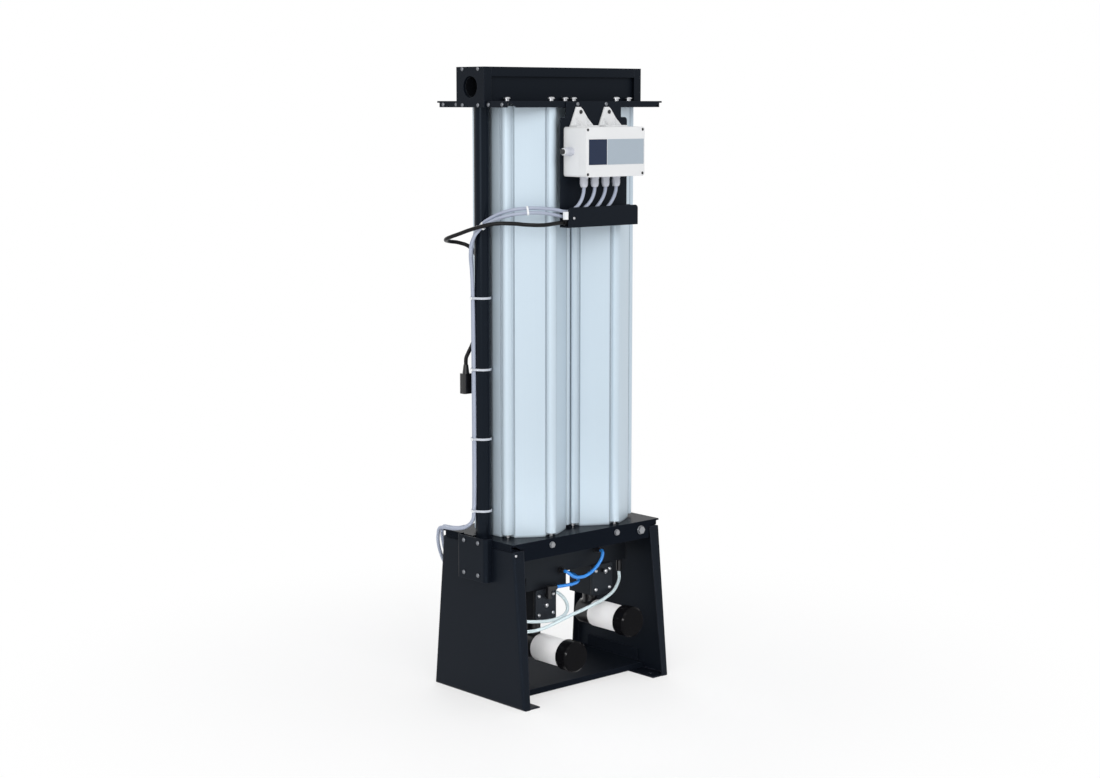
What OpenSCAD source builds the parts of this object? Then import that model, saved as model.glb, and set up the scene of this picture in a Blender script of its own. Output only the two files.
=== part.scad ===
// Heatless desiccant air dryer: two extruded columns of drying beads between folded steel plates,
// a header box on top, a valve bay in the open base and a small controller on the front.
// Millimetres, +Z up, front towards -Y, origin on the floor at the centre of the base.

/* [Columns] */
// Length of the extruded columns
column_len = 982; // [500:1:1400]
// Radius of the circle that the screw lobes lie on
bolt_circle_r = 100; // [98:0.5:115]
// Radius of a screw lobe
lobe_r = 12.4; // [11:0.1:14]
// Distance from the column axis to the middle of a face
face_apothem = 96.5; // [95:0.1:98]
// Radius of the gentle outward curve of a face
face_r = 400; // [300:10:900]
// Radius of the groove beside each lobe
groove_r = 1.8; // [1:0.1:2.5]
// Radius of the round bore that holds the beads
bore_r = 88; // [84:0.5:89]
// Gap between the two columns
column_gap = 2; // [1:0.5:20]
// How far the lobes are milled back at each end
lobe_relief = 7; // [3:0.5:12]

/* [End plugs] */
// Thickness of the plug that closes a column end
plug_t = 24; // [18:1:40]
// Outer radius of the plug's neck
neck_r = 20; // [16:0.5:24]
// Radius of the air passage through the neck
neck_bore_r = 12; // [8:0.5:14]
// Thickness of the perforated screen
screen_t = 2; // [1:0.5:4]
// Radius of the holes in the screen
screen_hole_r = 4; // [2:0.5:5]
// Cord radius of the plug's O-ring
ring_r = 2.45; // [2:0.05:3]

/* [Base] */
// Height of the base plate's top face
base_top = 377; // [340:1:480]
// Thickness of the base plate and the top plate
plate_t = 4; // [3:0.5:6]
// Thickness of the side panels and covers
sheet_t = 3; // [2:0.5:4]
// Outer radius of the sheet bends
bend_r = 6; // [5:0.5:9]
// Depth of the base plate's side lips
side_lip = 16; // [14:1:24]
// Depth of the base plate's front and rear aprons
apron_h = 42; // [30:1:60]
// Space between the plate edge and the front lobes
front_space = 11.6; // [9:0.1:30]
// Space between the right column and the plate edge
right_space = 24; // [16:0.5:60]
// How far the panels flare out at the floor, front and rear
foot_spread = 35; // [20:1:60]
// Width of the panels' front flange at the top
flange_top = 31; // [26:1:40]
// Width of the panels' front flange at the floor
flange_foot = 19; // [14:1:24]
// Width of the foot flange
foot_w = 49; // [40:1:70]
// Width of the panels' top flange
seat_w = 40; // [34:1:46]
// Radius of the floor bolt holes
floor_hole_r = 5.5; // [4:0.5:7]
// Height of the floor pan
pan_z = 17; // [12:1:40]
// Front edge of the floor pan
pan_front = -81; // [-100:1:-60]
// Rear edge of the floor pan
pan_rear = 138; // [100:1:145]

/* [Riser] */
// Outer diameter of the riser tube
riser_d = 36; // [30:1:40]
// Wall of the riser tube
riser_wall = 2.5; // [2:0.5:4]
// Gap between the riser and the lobes of the left column
riser_gap = 0.5; // [0.5:0.5:10]
// Depth of the riser's sockets
socket_depth = 10; // [8:1:12]
// Width of the elbow block at the riser's foot
elbow_w = 66; // [62:1:80]
// Height of the elbow block at the riser's foot
elbow_h = 89; // [80:1:100]
// How far the foot cover stands proud of the left panel
cover_proud = 20; // [16:1:30]
// Width of the foot cover
cover_w = 103; // [96:1:120]

/* [Header] */
// Height of the header box above the top plate
header_h = 75; // [72:1:100]
// Depth of the header box
header_d = 96; // [94:1:120]
// Depth of the lips of the header lid
lid_lip = 21; // [12:1:30]
// How far the header walls lie behind the lid's lips
wall_inset = 8; // [7:0.5:12]
// Depth of the top plate's lips
top_lip = 14; // [10:1:24]
// How far the top plate reaches past the base on the riser side
top_reach = 9; // [7:1:20]
// Thickness of the header's end plates
end_t = 6; // [4:0.5:8]
// Radius of the inlet and outlet ports
port_r = 22.5; // [16:0.5:24]
// Length of the port bores
port_len = 40; // [30:1:44]

/* [Controller] */
// Width of the controller box
box_w = 180; // [170:1:220]
// Height of the controller box
box_h = 110; // [100:1:130]
// Depth of the controller box without its lid
box_d = 53; // [45:1:70]
// Depth of the controller lid
lid_d = 20; // [14:1:30]
// Wall of the controller box
box_wall = 3; // [2:0.5:4]
// Corner radius of the controller box
box_corner = 6; // [5:0.5:10]
// Middle of the controller box, right of the base centre
box_x = 10; // [0:1:20]
// Distance from the top plate down to the controller box
box_drop = 53; // [48:1:80]
// Height of the cable trough below the controller
trough_h = 45; // [40:1:60]
// Depth of the cable trough, inside
trough_d = 22; // [20:1:30]
// Distance from the controller box down to the trough
trough_drop = 68; // [60:1:90]
// Radius of a cable gland
gland_r = 9; // [8:0.5:11]
// Distance between the cable glands
gland_pitch = 33; // [28:1:36]

/* [Valve bay] */
// Depth of the air manifold below the columns
manifold_d = 90; // [80:1:100]
// Height of the manifold block
manifold_h = 70; // [64:1:80]
// Extra height of the manifold above the left valve
manifold_step = 32; // [20:1:40]
// Distance from the base plate down to the manifold
manifold_drop = 28; // [24:1:40]
// Width of a valve
valve_w = 63; // [58:1:72]
// Height of a valve
valve_h = 73; // [68:1:84]
// Thickness of a valve cover
valve_cover_t = 7; // [5:0.5:10]
// Radius of a silencer element
silencer_r = 31.5; // [26:0.5:36]
// Length of a silencer element
silencer_len = 92; // [60:1:95]
// Radius of a silencer cap
cap_r = 36; // [33:0.5:40]
// Length of a silencer cap
cap_len = 33; // [20:1:40]
// How far the left silencer hangs below its valve
left_silencer_drop = 68; // [62:1:72]
// How far the right silencer hangs below its valve
right_silencer_drop = 49; // [48:1:60]

/* [Cables] */
// Diameter of a control cable
cable_d = 8; // [6:0.5:8]
// Diameter of the mains lead
lead_d = 9; // [7:0.5:9]
// Diameter of the air tubes
tube_d = 8; // [6:0.5:8]

/* [Hidden] */
$fn = 64;
eps = 0.5;
fit = 0.3;

// Column layout: the width of the base follows the columns, the riser and the space at the right
lobe_reach = bolt_circle_r*cos(30) + lobe_r;
column_pitch = 2*lobe_reach + column_gap;
base_w = lobe_reach + riser_gap + riser_d + column_pitch + lobe_reach + right_space;
left_x = -base_w/2 + riser_d + riser_gap + lobe_reach;
right_x = left_x + column_pitch;
column_xs = [left_x, right_x];
riser_x = -base_w/2 + riser_d/2;
plate_y = bolt_circle_r + lobe_r + front_space;
under_top = base_top + column_len;
top_z = under_top + plate_t;
lobe_angles = [30:60:330];

// Column details
face_half = bolt_circle_r/2;
screw_port_r = 4.1;
relief_wall = 5;
bolt_r = 3.9;
bolt_hole_r = 4.4;
bolt_head_r = 7.5;
bolt_head_h = 5;
bolt_grip = 18;
cap_head_r = 8.6;
cap_head_h = 4.4;
collar_r = 5.4;
collar_h = 5;
screen_rings = [0, 1, 2, 3, 4];
screen_pitch = 19;
ring_groove_d = 2*ring_r - 0.2;
neck_len = plate_t + manifold_drop + socket_depth - fit;

// Base details
panel_h = base_top - side_lip;
panel_y = plate_y + 2;
seat_y = plate_y - plate_t - 1;
foot_y = panel_y + foot_spread;
slope = atan(foot_spread/panel_h);
web_w = panel_y + foot_spread + 20;
lip_cut = 24;
apron_x = base_w/2 - flange_top - 1;
return_w = 20;
foot_hole_in = 30;
foot_hole_y = 130;
apron_bolt_xs = [-112, 91];
apron_bolt_z = base_top - 15;
shoulder_bolt_x = 169;
shoulder_bolt_z = base_top - 20;
frame_bolt_in = 13;
frame_bolt_y = 80;

// Riser details
elbow_x0 = -base_w/2 - cover_proud + sheet_t;
elbow_x1 = riser_x + riser_d/2 + 7;
elbow_top = base_top - plate_t;
elbow_bottom = elbow_top - elbow_h;
air_r = 14;
gallery_z = elbow_bottom + 32;
cover_x = -base_w/2 - cover_proud;
cover_bottom = elbow_bottom - sheet_t - 1;
cover_corner = 10;
cover_screw_y = 25;
cover_screw_z = [elbow_bottom + 10, elbow_bottom + 85];

// Header details
top_left = -base_w/2 - top_reach;
top_right = base_w/2;
header_top = top_z + header_h;
header_y = header_d/2;
wall_y = header_y - wall_inset;
floor_z = top_z + sheet_t;
lid_z = header_top - sheet_t;
port_z = top_z + 31;
port_hole_r = port_r + 1.5;
riser_top_z = port_z - port_r - 1;
end_bottom = top_z - top_lip;
end_flange = 15;
block_y = wall_y - sheet_t - fit;
block_top = port_z + port_r + 9;
inlet_x1 = riser_x + riser_d/2 + 8;
outlet_x0 = left_x - 30;
plenum_r = neck_bore_r;
plenum_z = floor_z + socket_depth;
seat_z = plenum_z + 9;
seat_r = 7;
ball_r = 8.7;
chamber_z = seat_z + 4;
chamber_r = 12;
gather_z = port_z + 8;
purge_z = plenum_z + 4.5;
end_screw_y = 27;
end_screw_z = [end_bottom + 5, header_top - 5];
lip_screw_ys = [-102, -56, 56, 102];
lip_screw_z = end_bottom + 6;
small_screw_r = 2.4;
small_hole_r = 2.6;

// Controller details
box_z1 = top_z - box_drop - plate_t;
box_z0 = box_z1 - box_h;
box_x0 = box_x - box_w/2;
box_x1 = box_x + box_w/2;
bracket_y = -plate_y - sheet_t;
box_front = bracket_y - box_d;
lid_front = box_front - lid_d;
bracket_x0 = box_x0 - 9;
bracket_x1 = box_x1 + 15;
trough_x1 = bracket_x1 + 12;
trough_z1 = box_z0 - trough_drop;
trough_z0 = trough_z1 - trough_h;
trough_front = bracket_y - trough_d;
bracket_corner = 8;
shoulder_z = box_z1 + 21;
tab_z = top_z - 2;
lug_xs = [box_x - 39, box_x + 48];
lug_w = 68;
lug_h = 44;
lug_apex_w = 13;
lug_lean = 9;
lug_screw_lean = 2;
lug_t = 3;
lug_screw_z = box_z1 + 33;
lug_hole_r = 2.2;
tab_screw_z = top_z - 7;
gland_xs = [for (k = [-1.5:1:1.5]) box_x - 3.5 + k*gland_pitch];
gland_y = (bracket_y + box_front)/2;
gland_len = 24;
side_gland_z = box_z0 + 56;
lid_screw_in = 6;
boot_r = lead_d/2 + 3.4;
boot_len = 34;
boot_grip = 10;
label_x0 = box_x0 + 9;
label_x1 = box_x1 - 3;
label_z0 = box_z0 + 27;
label_z1 = box_z0 + 83;
label_t = 0.6;
board_t = 1.6;
pillar_h = 20;
pillar_in = 22;

// Valve bay details
manifold_z1 = base_top - plate_t - manifold_drop;
manifold_z0 = manifold_z1 - manifold_h;
manifold_y0 = -60;
manifold_y1 = manifold_y0 + manifold_d;
manifold_x1 = right_x + 76;
step_x0 = left_x - 41;
step_x1 = left_x + 83;
valve_xs = [left_x + 14, right_x - 6];
valve_tops = [manifold_z0 - manifold_step, manifold_z0];
silencer_zs = [valve_tops[0] - valve_h - left_silencer_drop, valve_tops[1] - valve_h - right_silencer_drop];
diaphragm_t = 1.5;
valve_front = -67;
valve_seam = valve_front + valve_cover_t;
body_front = valve_seam + diaphragm_t;
valve_back = 15;
valve_screw_x = 22;
valve_screw_z = 22.5;
valve_screw_r = 2.4;
exhaust_y = -22;
exhaust_r = 17;
adapter_r = 30;
cap_front = -172;
element_front = cap_front + cap_len;
adapter_front = element_front + silencer_len;
adapter_back = exhaust_y + exhaust_r + 3;
pilot_y = 45;
pilot_w = 32;
pilot_h = 40;
pilot_z = elbow_bottom - 119;
coil_len = 36;
panel_in = -base_w/2 + sheet_t;
short_fitting = 16;
mid_fitting = 20;
long_fitting = 30;
stem_drop = 15;
elbow_rise = 18;
elbow_reach = 22;
loop_ports = [[left_x + 64.7, manifold_z0 + 4], [right_x - 21.3, manifold_z0 + 37]];
hanging_port = [manifold_x1 - 12.3, manifold_y0 + 10, manifold_z0];
valve_side_port = [valve_xs[0] + valve_w/2, manifold_y0 + 22, valve_tops[0] - 21];
pilot_side_port = [panel_in + pilot_w, 30, pilot_z + 36];
pilot_ports = [pilot_z + 9, pilot_z + 27];

// Cable routes, in points chosen by hand
cable_r = cable_d/2;
lead_r = lead_d/2;
tube_r = tube_d/2;
riser_a = [-227.7, 15.5];
riser_b = [-232.6, 7.8];
tie_zs = [437, 603, 762, 924];
tie_t = 1.4;
control_a = [
    [-43, -153.5, 1176], [-43, -153.5, 1170], [-44, -152, 1156], [-49, -147, 1138], [-58, -142, 1126],
    [-72, -138, 1119.5], [-88, -137, 1119], [-106, -134, 1123], [-140, -126, 1127], [-175, -112, 1128],
    [-205, -77, 1121], [-224, -46, 1106], [-235, -20, 1086], [-238, -2, 1060], [-236, 8, 1028], [-231, 13, 992],
    [-228, 15.4, 942], [riser_a[0], riser_a[1], 930], [riser_a[0], riser_a[1], 430], [-228, 19, 413],
    [-230, 35, 398], [-230, 60, 390], [-228, 90, 385], [-226, 112, 383.4], [-224, 130, 380.4],
    [-221, 140, 366], [-216, 143, 345], [-205, 147, 315], [-191, 146, 287], [-183, 134, 262],
    [-184, 116, 244], [-192, 104, 226], [-203, 97, 208], [-209, 91, 197],
    [-210.2, 86, 194], [-210.2, 81.3, 194]];
control_b = [
    [-10, -153.5, 1176], [-10, -153.5, 1170], [-12, -152, 1156], [-19, -148, 1139], [-32, -143, 1125],
    [-50, -138, 1114], [-70, -134, 1109], [-88, -133, 1108], [-110, -131, 1112], [-142, -127, 1117],
    [-177, -117, 1118], [-209, -82, 1111], [-230, -50, 1097], [-242, -22, 1076], [-246, -6, 1052],
    [-244, 2, 1022], [-238, 6, 988], [-233.5, 7.6, 944], [riser_b[0], riser_b[1], 930],
    [riser_b[0], riser_b[1], 430], [-235, 13, 411], [-239, 31, 396], [-239.5, 62, 388], [-237.5, 92, 384],
    [-236, 114, 382.4], [-234, 133, 377], [-231, 142, 360], [-226, 148, 340], [-214, 152, 308],
    [-199, 152, 279], [-191, 140, 252], [-191, 120, 232], [-197, 107, 206], [-205, 97, 187],
    [-209.4, 91, 177], [-210.2, 86, 175], [-210.2, 81.3, 175]];
drop_c = [
    [23, -153.5, 1176], [23, -153.5, 1170], [22, -151, 1156], [15, -146, 1138], [2, -140, 1120],
    [-16, -139, 1106], [-36, -139, 1099], [-42, -139, 1098]];
drop_d = [
    [56, -153.5, 1176], [56, -153.5, 1170], [55, -152, 1158], [49, -147, 1139], [36, -141, 1121],
    [16, -136, 1107], [-6, -133, 1099], [-12, -133, 1098]];
lead_route = [
    [-89, -138, 1094.5], [-94, -138, 1094.5], [-112, -137.5, 1093.5], [-144, -134, 1091], [-178, -122, 1092],
    [-208, -98, 1095], [-234, -68, 1094], [-251, -40, 1087], [-263, -16, 1079], [-274, 6, 1070],
    [-282, 28, 1062], [-276, 50, 1055], [-254, 64, 1050], [-230, 59, 1046], [-212, 45, 1037], [-201, 36, 1020],
    [-197, 33, 998], [-196.5, 32.5, 960], [-197, 32.7, 880], [-201, 33.4, 850], [-211, 36, 818],
    [-222, 38.8, 796], [-227.2, 39.9, 785], [-228, 40, 776], [-228, 40, 770]];
blue_a = [
    [-57.7, -77, 246], [-50, -77, 246], [-30, -77, 245.4], [-4, -77, 245.4], [14, -73, 247], [25, -62, 251],
    [29, -44, 256], [27, -20, 259], [20, 10, 260], [4, 34, 258], [-22, 48, 251], [-60, 53, 240], [-105, 50, 226],
    [-146, 38, 209], [-164, 31.4, 202.4], [-174, 30, 201], [-179, 30, 201], [-188.2, 30, 201]];
blue_b = [
    [-29, -68.2, 279], [-29, -77, 279], [-29, -81, 279], [-24, -87, 274], [-10, -88, 265], [10, -88, 261],
    [30, -88, 263], [50, -88, 271], [68, -88, 285], [80, -87, 301], [85, -81, 312], [85, -77, 312],
    [85, -68.2, 312]];
white_a = [
    [170, -50, 256], [170, -50, 244], [169.6, -50.6, 240], [165, -56, 230], [150, -66, 219], [126, -77, 207],
    [94, -85, 198], [56, -91, 191], [16, -95, 185], [-26, -98, 179], [-70, -100, 171], [-114, -100, 163],
    [-150, -95, 160], [-180, -86, 163], [-200, -77, 169], [-209.6, -70, 173.4], [-210.25, -66, 174],
    [-210.25, -56, 174]];
white_b = [
    [-38, -38, 222], [-27, -38, 222], [-23, -38.4, 221.6], [-14, -46, 214], [-10, -58, 202], [-16, -71, 189],
    [-34, -82, 179], [-62, -88, 174], [-96, -89, 174], [-130, -88, 178], [-160, -85, 183], [-186, -80, 188],
    [-204, -74, 191.4], [-210, -70, 192], [-210.25, -66, 192], [-210.25, -56, 192]];

black_paint = "#20242b";
silver = "#c9ccd0";
anodised = "#cfdde8";
off_white = "#e2e4e5";
pale_grey = "#c8cbd4";

// Shared shapes

module box(lo, hi) {
    translate(lo) cube(hi - lo);
}

module rounded_rect(size, r) {
    translate([r, 0]) square([size[0] - 2*r, size[1]]);
    translate([0, r]) square([size[0], size[1] - 2*r]);
    for (x = [r, size[0] - r], y = [r, size[1] - r]) translate([x, y]) circle(r);
}

// A flat sheet that stands in the XZ plane, from its front face back
module upright(y, t) {
    translate([0, y + t, 0]) rotate([90, 0, 0]) linear_extrude(t) children();
}

// A cylinder along X or Y from a start point
module rod_x(p, r, len) {
    translate(p) rotate([0, 90, 0]) cylinder(r = r, h = len);
}

module rod_y(p, r, len) {
    translate(p) rotate([-90, 0, 0]) cylinder(r = r, h = len);
}

module at_lobes() {
    for (a = lobe_angles) rotate(a) translate([bolt_circle_r, 0]) children();
}

module at_columns() {
    for (x = column_xs) translate([x, 0, 0]) children();
}

// A screw with a domed head at the origin, pointing along +Z into the work
module screw(head_r, head_h, shank_r, shank_len) {
    rotate_extrude() polygon([[0, -head_h], [head_r*0.6, -head_h], [head_r, -head_h*0.4], [head_r, 0],
                              [shank_r, 0], [shank_r, shank_len], [0, shank_len]]);
}

// A hexagon bolt with a washer face at the origin, pointing along +Z
module hex_bolt(head_r, head_h, shank_r, shank_len) {
    translate([0, 0, -head_h]) cylinder(r = head_r, h = head_h - 1, $fn = 6);
    translate([0, 0, -1]) cylinder(r = head_r*1.1, h = 1);
    cylinder(r = shank_r, h = shank_len);
}

// A tube of round section swept through a list of points
function unit(v) = v/norm(v);
function heading(p, i) = unit(p[min(i + 1, len(p) - 1)] - p[max(i - 1, 0)]);
function across(t, n) = unit(n - t*(n*t));
function first_normal(t) = across(t, abs(t[2]) < 0.9 ? [0, 0, 1] : [1, 0, 0]);
function frames(p, i = 0, n = undef) =
    let (t = heading(p, i), m = i == 0 ? first_normal(t) : across(t, n))
    i == len(p) - 1 ? [[t, m]] : concat([[t, m]], frames(p, i + 1, m));

module swept(p, r, sides = 10) {
    f = frames(p);
    count = len(p);
    rings = [for (i = [0:count - 1], k = [0:sides - 1])
        p[i] + r*cos(360*k/sides)*f[i][1] + r*sin(360*k/sides)*cross(f[i][0], f[i][1])];
    skin = [for (i = [0:count - 2], k = [0:sides - 1])
        let (a = i*sides + k, b = i*sides + (k + 1)%sides) [a, a + sides, b + sides, b]];
    near_end = [for (k = [0:sides - 1]) k];
    far_end = [for (k = [sides - 1:-1:0]) (count - 1)*sides + k];
    polyhedron(rings, concat(skin, [near_end, far_end]), convexity = 10);
}

// Base

module fold_profile(flange_w) {
    inner_r = bend_r - sheet_t;
    difference() {
        union() {
            square([sheet_t, web_w]);
            square([flange_w, sheet_t]);
            translate([sheet_t, sheet_t]) difference() {
                square(inner_r);
                translate([inner_r, inner_r]) circle(inner_r);
            }
        }
        difference() {
            translate([-eps, -eps]) square(bend_r + eps);
            translate([bend_r, bend_r]) circle(bend_r);
        }
    }
}

// Half of a panel, with its sloping front edge folded inwards
module panel_half() {
    over = 40;
    difference() {
        intersection() {
            translate([0, -foot_y, 0]) rotate([-slope, 0, 0]) translate([0, 0, -over])
                linear_extrude(panel_h + 2*over) fold_profile(flange_top);
            box([-eps, -foot_y - over, 0], [flange_top + eps, foot_y + over, panel_h]);
        }
        rotate([90, 0, 0]) linear_extrude(4*foot_y, center = true)
            polygon([[flange_foot, 0], [flange_top, panel_h], [flange_top + 9, panel_h], [flange_top + 9, -9]]);
    }
}

module edge_round(z, turn) {
    translate([0, 0, z]) rotate([0, turn, 0]) difference() {
        box([-eps, -2*foot_y, -eps], [bend_r, 2*foot_y, bend_r]);
        rod_y([bend_r, -3*foot_y, bend_r], bend_r, 6*foot_y);
    }
}

// A side panel with its outer face at X = 0 and the base to its +X side
module panel_blank() {
    difference() {
        union() {
            panel_half();
            mirror([0, 1, 0]) panel_half();
            box([sheet_t - eps, -foot_y + 2, 0], [foot_w, foot_y - 2, sheet_t]);
            box([sheet_t - eps, -seat_y, panel_h - sheet_t], [seat_w, seat_y, panel_h]);
        }
        edge_round(0, 0);
        edge_round(panel_h, 90);
        for (y = [-foot_hole_y, foot_hole_y])
            translate([foot_hole_in, y, -eps]) cylinder(r = floor_hole_r, h = sheet_t + 2*eps);
        for (y = [-frame_bolt_y, frame_bolt_y])
            translate([frame_bolt_in, y, panel_h - sheet_t - eps]) cylinder(r = bolt_hole_r, h = sheet_t + 2*eps);
    }
}

module left_side_panel() {
    color(black_paint) translate([-base_w/2, 0, 0]) difference() {
        panel_blank();
        box([-eps, -elbow_w/2 - fit, elbow_bottom - fit], [seat_w + eps, elbow_w/2 + fit, panel_h + eps]);
    }
}

module right_side_panel() {
    color(black_paint) mirror([1, 0, 0]) translate([-base_w/2, 0, 0]) panel_blank();
}

module floor_pan() {
    half = base_w/2 - sheet_t - 0.2;
    tab_h = 28;
    color(black_paint) {
        box([-half, pan_front, pan_z - sheet_t], [half, pan_rear, pan_z]);
        for (y = [pan_front, pan_rear - sheet_t])
            box([-half, y, sheet_t], [half, y + sheet_t, pan_z - sheet_t]);
        for (x = [-half, half - sheet_t])
            box([x, pan_front + 20, pan_z], [x + sheet_t, pan_rear - 20, pan_z + tab_h]);
    }
}

// Lip outline seen from the front: oblique ends, and a deeper apron between the panels
module apron_outline(half, lip, deep_half, deep) {
    polygon([[-half, 0], [-half + lip_cut, -lip], [-deep_half, -lip], [-deep_half, -deep], [deep_half, -deep],
             [deep_half, -lip], [half - lip_cut, -lip], [half, 0]]);
}

module base_plate() {
    color(black_paint) difference() {
        union() {
            box([-base_w/2, -plate_y, base_top - plate_t], [base_w/2, plate_y, base_top]);
            for (y = [-plate_y, plate_y - plate_t])
                translate([0, 0, base_top]) upright(y, plate_t)
                    apron_outline(base_w/2, side_lip - 2, apron_x, apron_h);
            for (s = [0, 1]) mirror([s, 0, 0]) {
                box([-base_w/2, -plate_y + 8, panel_h], [-base_w/2 + plate_t, plate_y - 8, base_top - plate_t]);
                box([-base_w/2, -plate_y + 8, panel_h], [-base_w/2 + return_w, plate_y - 8, panel_h + plate_t]);
            }
        }
        at_columns() {
            translate([0, 0, base_top - plate_t - eps]) {
                cylinder(r = neck_r + fit, h = plate_t + 2*eps);
                at_lobes() cylinder(r = bolt_hole_r, h = plate_t + 2*eps);
            }
        }
        translate([riser_x, 0, base_top - plate_t - eps]) cylinder(r = riser_d/2 + fit, h = plate_t + 2*eps);
        box([-base_w/2 - eps, -riser_d/2 - fit, base_top - plate_t - eps],
            [riser_x, riser_d/2 + fit, base_top + eps]);
        box([-base_w/2 - eps, -elbow_w/2 - fit, panel_h - eps],
            [-base_w/2 + return_w + eps, elbow_w/2 + fit, base_top - plate_t]);
        for (x = apron_bolt_xs) rod_y([x, -plate_y - eps, apron_bolt_z], bolt_hole_r, plate_t + 2*eps);
        rod_y([shoulder_bolt_x, -plate_y - eps, shoulder_bolt_z], bolt_hole_r, plate_t + 2*eps);
        for (x = [-1, 1], y = [-1, 1])
            translate([x*(base_w/2 - frame_bolt_in), y*frame_bolt_y, panel_h - eps])
                cylinder(r = bolt_hole_r, h = plate_t + 2*eps);
    }
}

module frame_bolts() {
    nut_h = 6;
    color(silver) for (x = [-1, 1], y = [-1, 1])
        translate([x*(base_w/2 - frame_bolt_in), y*frame_bolt_y, panel_h - sheet_t]) {
            hex_bolt(bolt_head_r, bolt_head_h, bolt_r, sheet_t + plate_t + nut_h);
            translate([0, 0, sheet_t + plate_t]) cylinder(r = bolt_head_r, h = nut_h - 1, $fn = 6);
        }
}

module apron_bolts() {
    nut_h = 6;
    places = [[apron_bolt_xs[0], apron_bolt_z, 0.9], [apron_bolt_xs[1], apron_bolt_z, 0.9],
              [shoulder_bolt_x, shoulder_bolt_z, 1.25]];
    color(silver) for (p = places)
        translate([p[0], -plate_y, p[1]]) rotate([-90, 0, 0]) {
            hex_bolt(bolt_head_r*p[2], bolt_head_h*p[2], bolt_r, plate_t + nut_h);
            translate([0, 0, plate_t]) cylinder(r = bolt_head_r, h = nut_h - 1, $fn = 6);
        }
}

// Columns

// Hexagon with gently curved faces, six screw lobes and a groove at each side of a lobe
module column_outline() {
    difference() {
        union() {
            intersection_for (k = [0:5]) rotate(60*k) translate([face_apothem - face_r, 0]) circle(face_r, $fn = 360);
            at_lobes() circle(lobe_r);
        }
        for (k = [0:5], s = [-1, 1])
            rotate(60*k) translate([face_apothem - groove_r, s*(face_half - lobe_r - groove_r/2)]) circle(groove_r);
    }
}

module column(x) {
    color(anodised) translate([x, 0, base_top]) difference() {
        linear_extrude(column_len) difference() {
            column_outline();
            circle(bore_r);
            at_lobes() circle(screw_port_r);
        }
        for (z = [-eps, column_len - lobe_relief]) translate([0, 0, z]) linear_extrude(lobe_relief + eps)
            difference() {
                at_lobes() circle(lobe_r + 2);
                circle(bore_r + relief_wall);
            }
    }
}

module left_column() {
    column(left_x);
}

module right_column() {
    column(right_x);
}

module lower_column_bolts() {
    color(silver) at_columns() translate([0, 0, base_top - plate_t]) at_lobes()
        hex_bolt(bolt_head_r, bolt_head_h, bolt_r, plate_t + lobe_relief + bolt_grip);
}

// Bolts with a domed head on a collar
module upper_column_bolts() {
    head_z = collar_h + cap_head_h;
    reach = plate_t + lobe_relief + bolt_grip;
    color(silver) at_columns() translate([0, 0, top_z]) at_lobes() rotate_extrude() polygon([
        [0, -reach], [bolt_r, -reach], [bolt_r, 0], [collar_r, 0], [collar_r, collar_h], [cap_head_r, collar_h],
        [cap_head_r, collar_h + 1.4], [cap_head_r*0.8, head_z - 1], [cap_head_r*0.45, head_z], [0, head_z]]);
}

// A plug with its flat outer face at Z = 0, its disc above and its neck below
module plug() {
    plug_r = bore_r - fit;
    difference() {
        union() {
            cylinder(r = plug_r, h = plug_t);
            translate([0, 0, -neck_len]) cylinder(r = neck_r, h = neck_len + eps);
        }
        translate([0, 0, -neck_len - eps]) cylinder(r = neck_bore_r, h = neck_len + plug_t + 2*eps);
        translate([0, 0, plug_t/2 - ring_r - 0.2]) difference() {
            cylinder(r = plug_r + eps, h = 2*ring_r + 0.4);
            translate([0, 0, -eps]) cylinder(r = plug_r - ring_groove_d, h = 2*ring_r + 1.4);
        }
    }
}

module upper_plug(x) {
    short = neck_len - (plate_t + sheet_t + socket_depth - fit);
    color(silver) translate([x, 0, under_top]) mirror([0, 0, 1]) difference() {
        plug();
        translate([0, 0, -neck_len - eps]) cylinder(r = neck_r + eps, h = short + eps);
    }
}

module left_lower_plug() {
    color(silver) translate([left_x, 0, base_top]) plug();
}

module right_lower_plug() {
    color(silver) translate([right_x, 0, base_top]) plug();
}

module left_upper_plug() {
    upper_plug(left_x);
}

module right_upper_plug() {
    upper_plug(right_x);
}

module plug_rings() {
    seat = bore_r - fit - ring_groove_d;
    color("#1a1a1a") at_columns() for (z = [base_top + plug_t/2, under_top - plug_t/2])
        translate([0, 0, z]) rotate_extrude() translate([seat + ring_r + 0.05, 0]) circle(ring_r);
}

module screen() {
    difference() {
        cylinder(r = bore_r - fit, h = screen_t);
        for (k = screen_rings, j = [0:max(1, 6*k) - 1])
            rotate(k == 0 ? 0 : 60*j/k) translate([k*screen_pitch, 0, -eps])
                cylinder(r = screen_hole_r, h = screen_t + 2*eps, $fn = 24);
    }
}

module lower_screens() {
    color(silver) at_columns() translate([0, 0, base_top + plug_t]) screen();
}

module upper_screens() {
    color(silver) at_columns() translate([0, 0, under_top - plug_t - screen_t]) screen();
}

module bead_bed(x) {
    color("#f2ead8") translate([x, 0, base_top + plug_t + screen_t])
        cylinder(r = bore_r - 2*fit, h = column_len - 2*plug_t - 2*screen_t);
}

module left_bead_bed() {
    bead_bed(left_x);
}

module right_bead_bed() {
    bead_bed(right_x);
}

// Header

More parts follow.
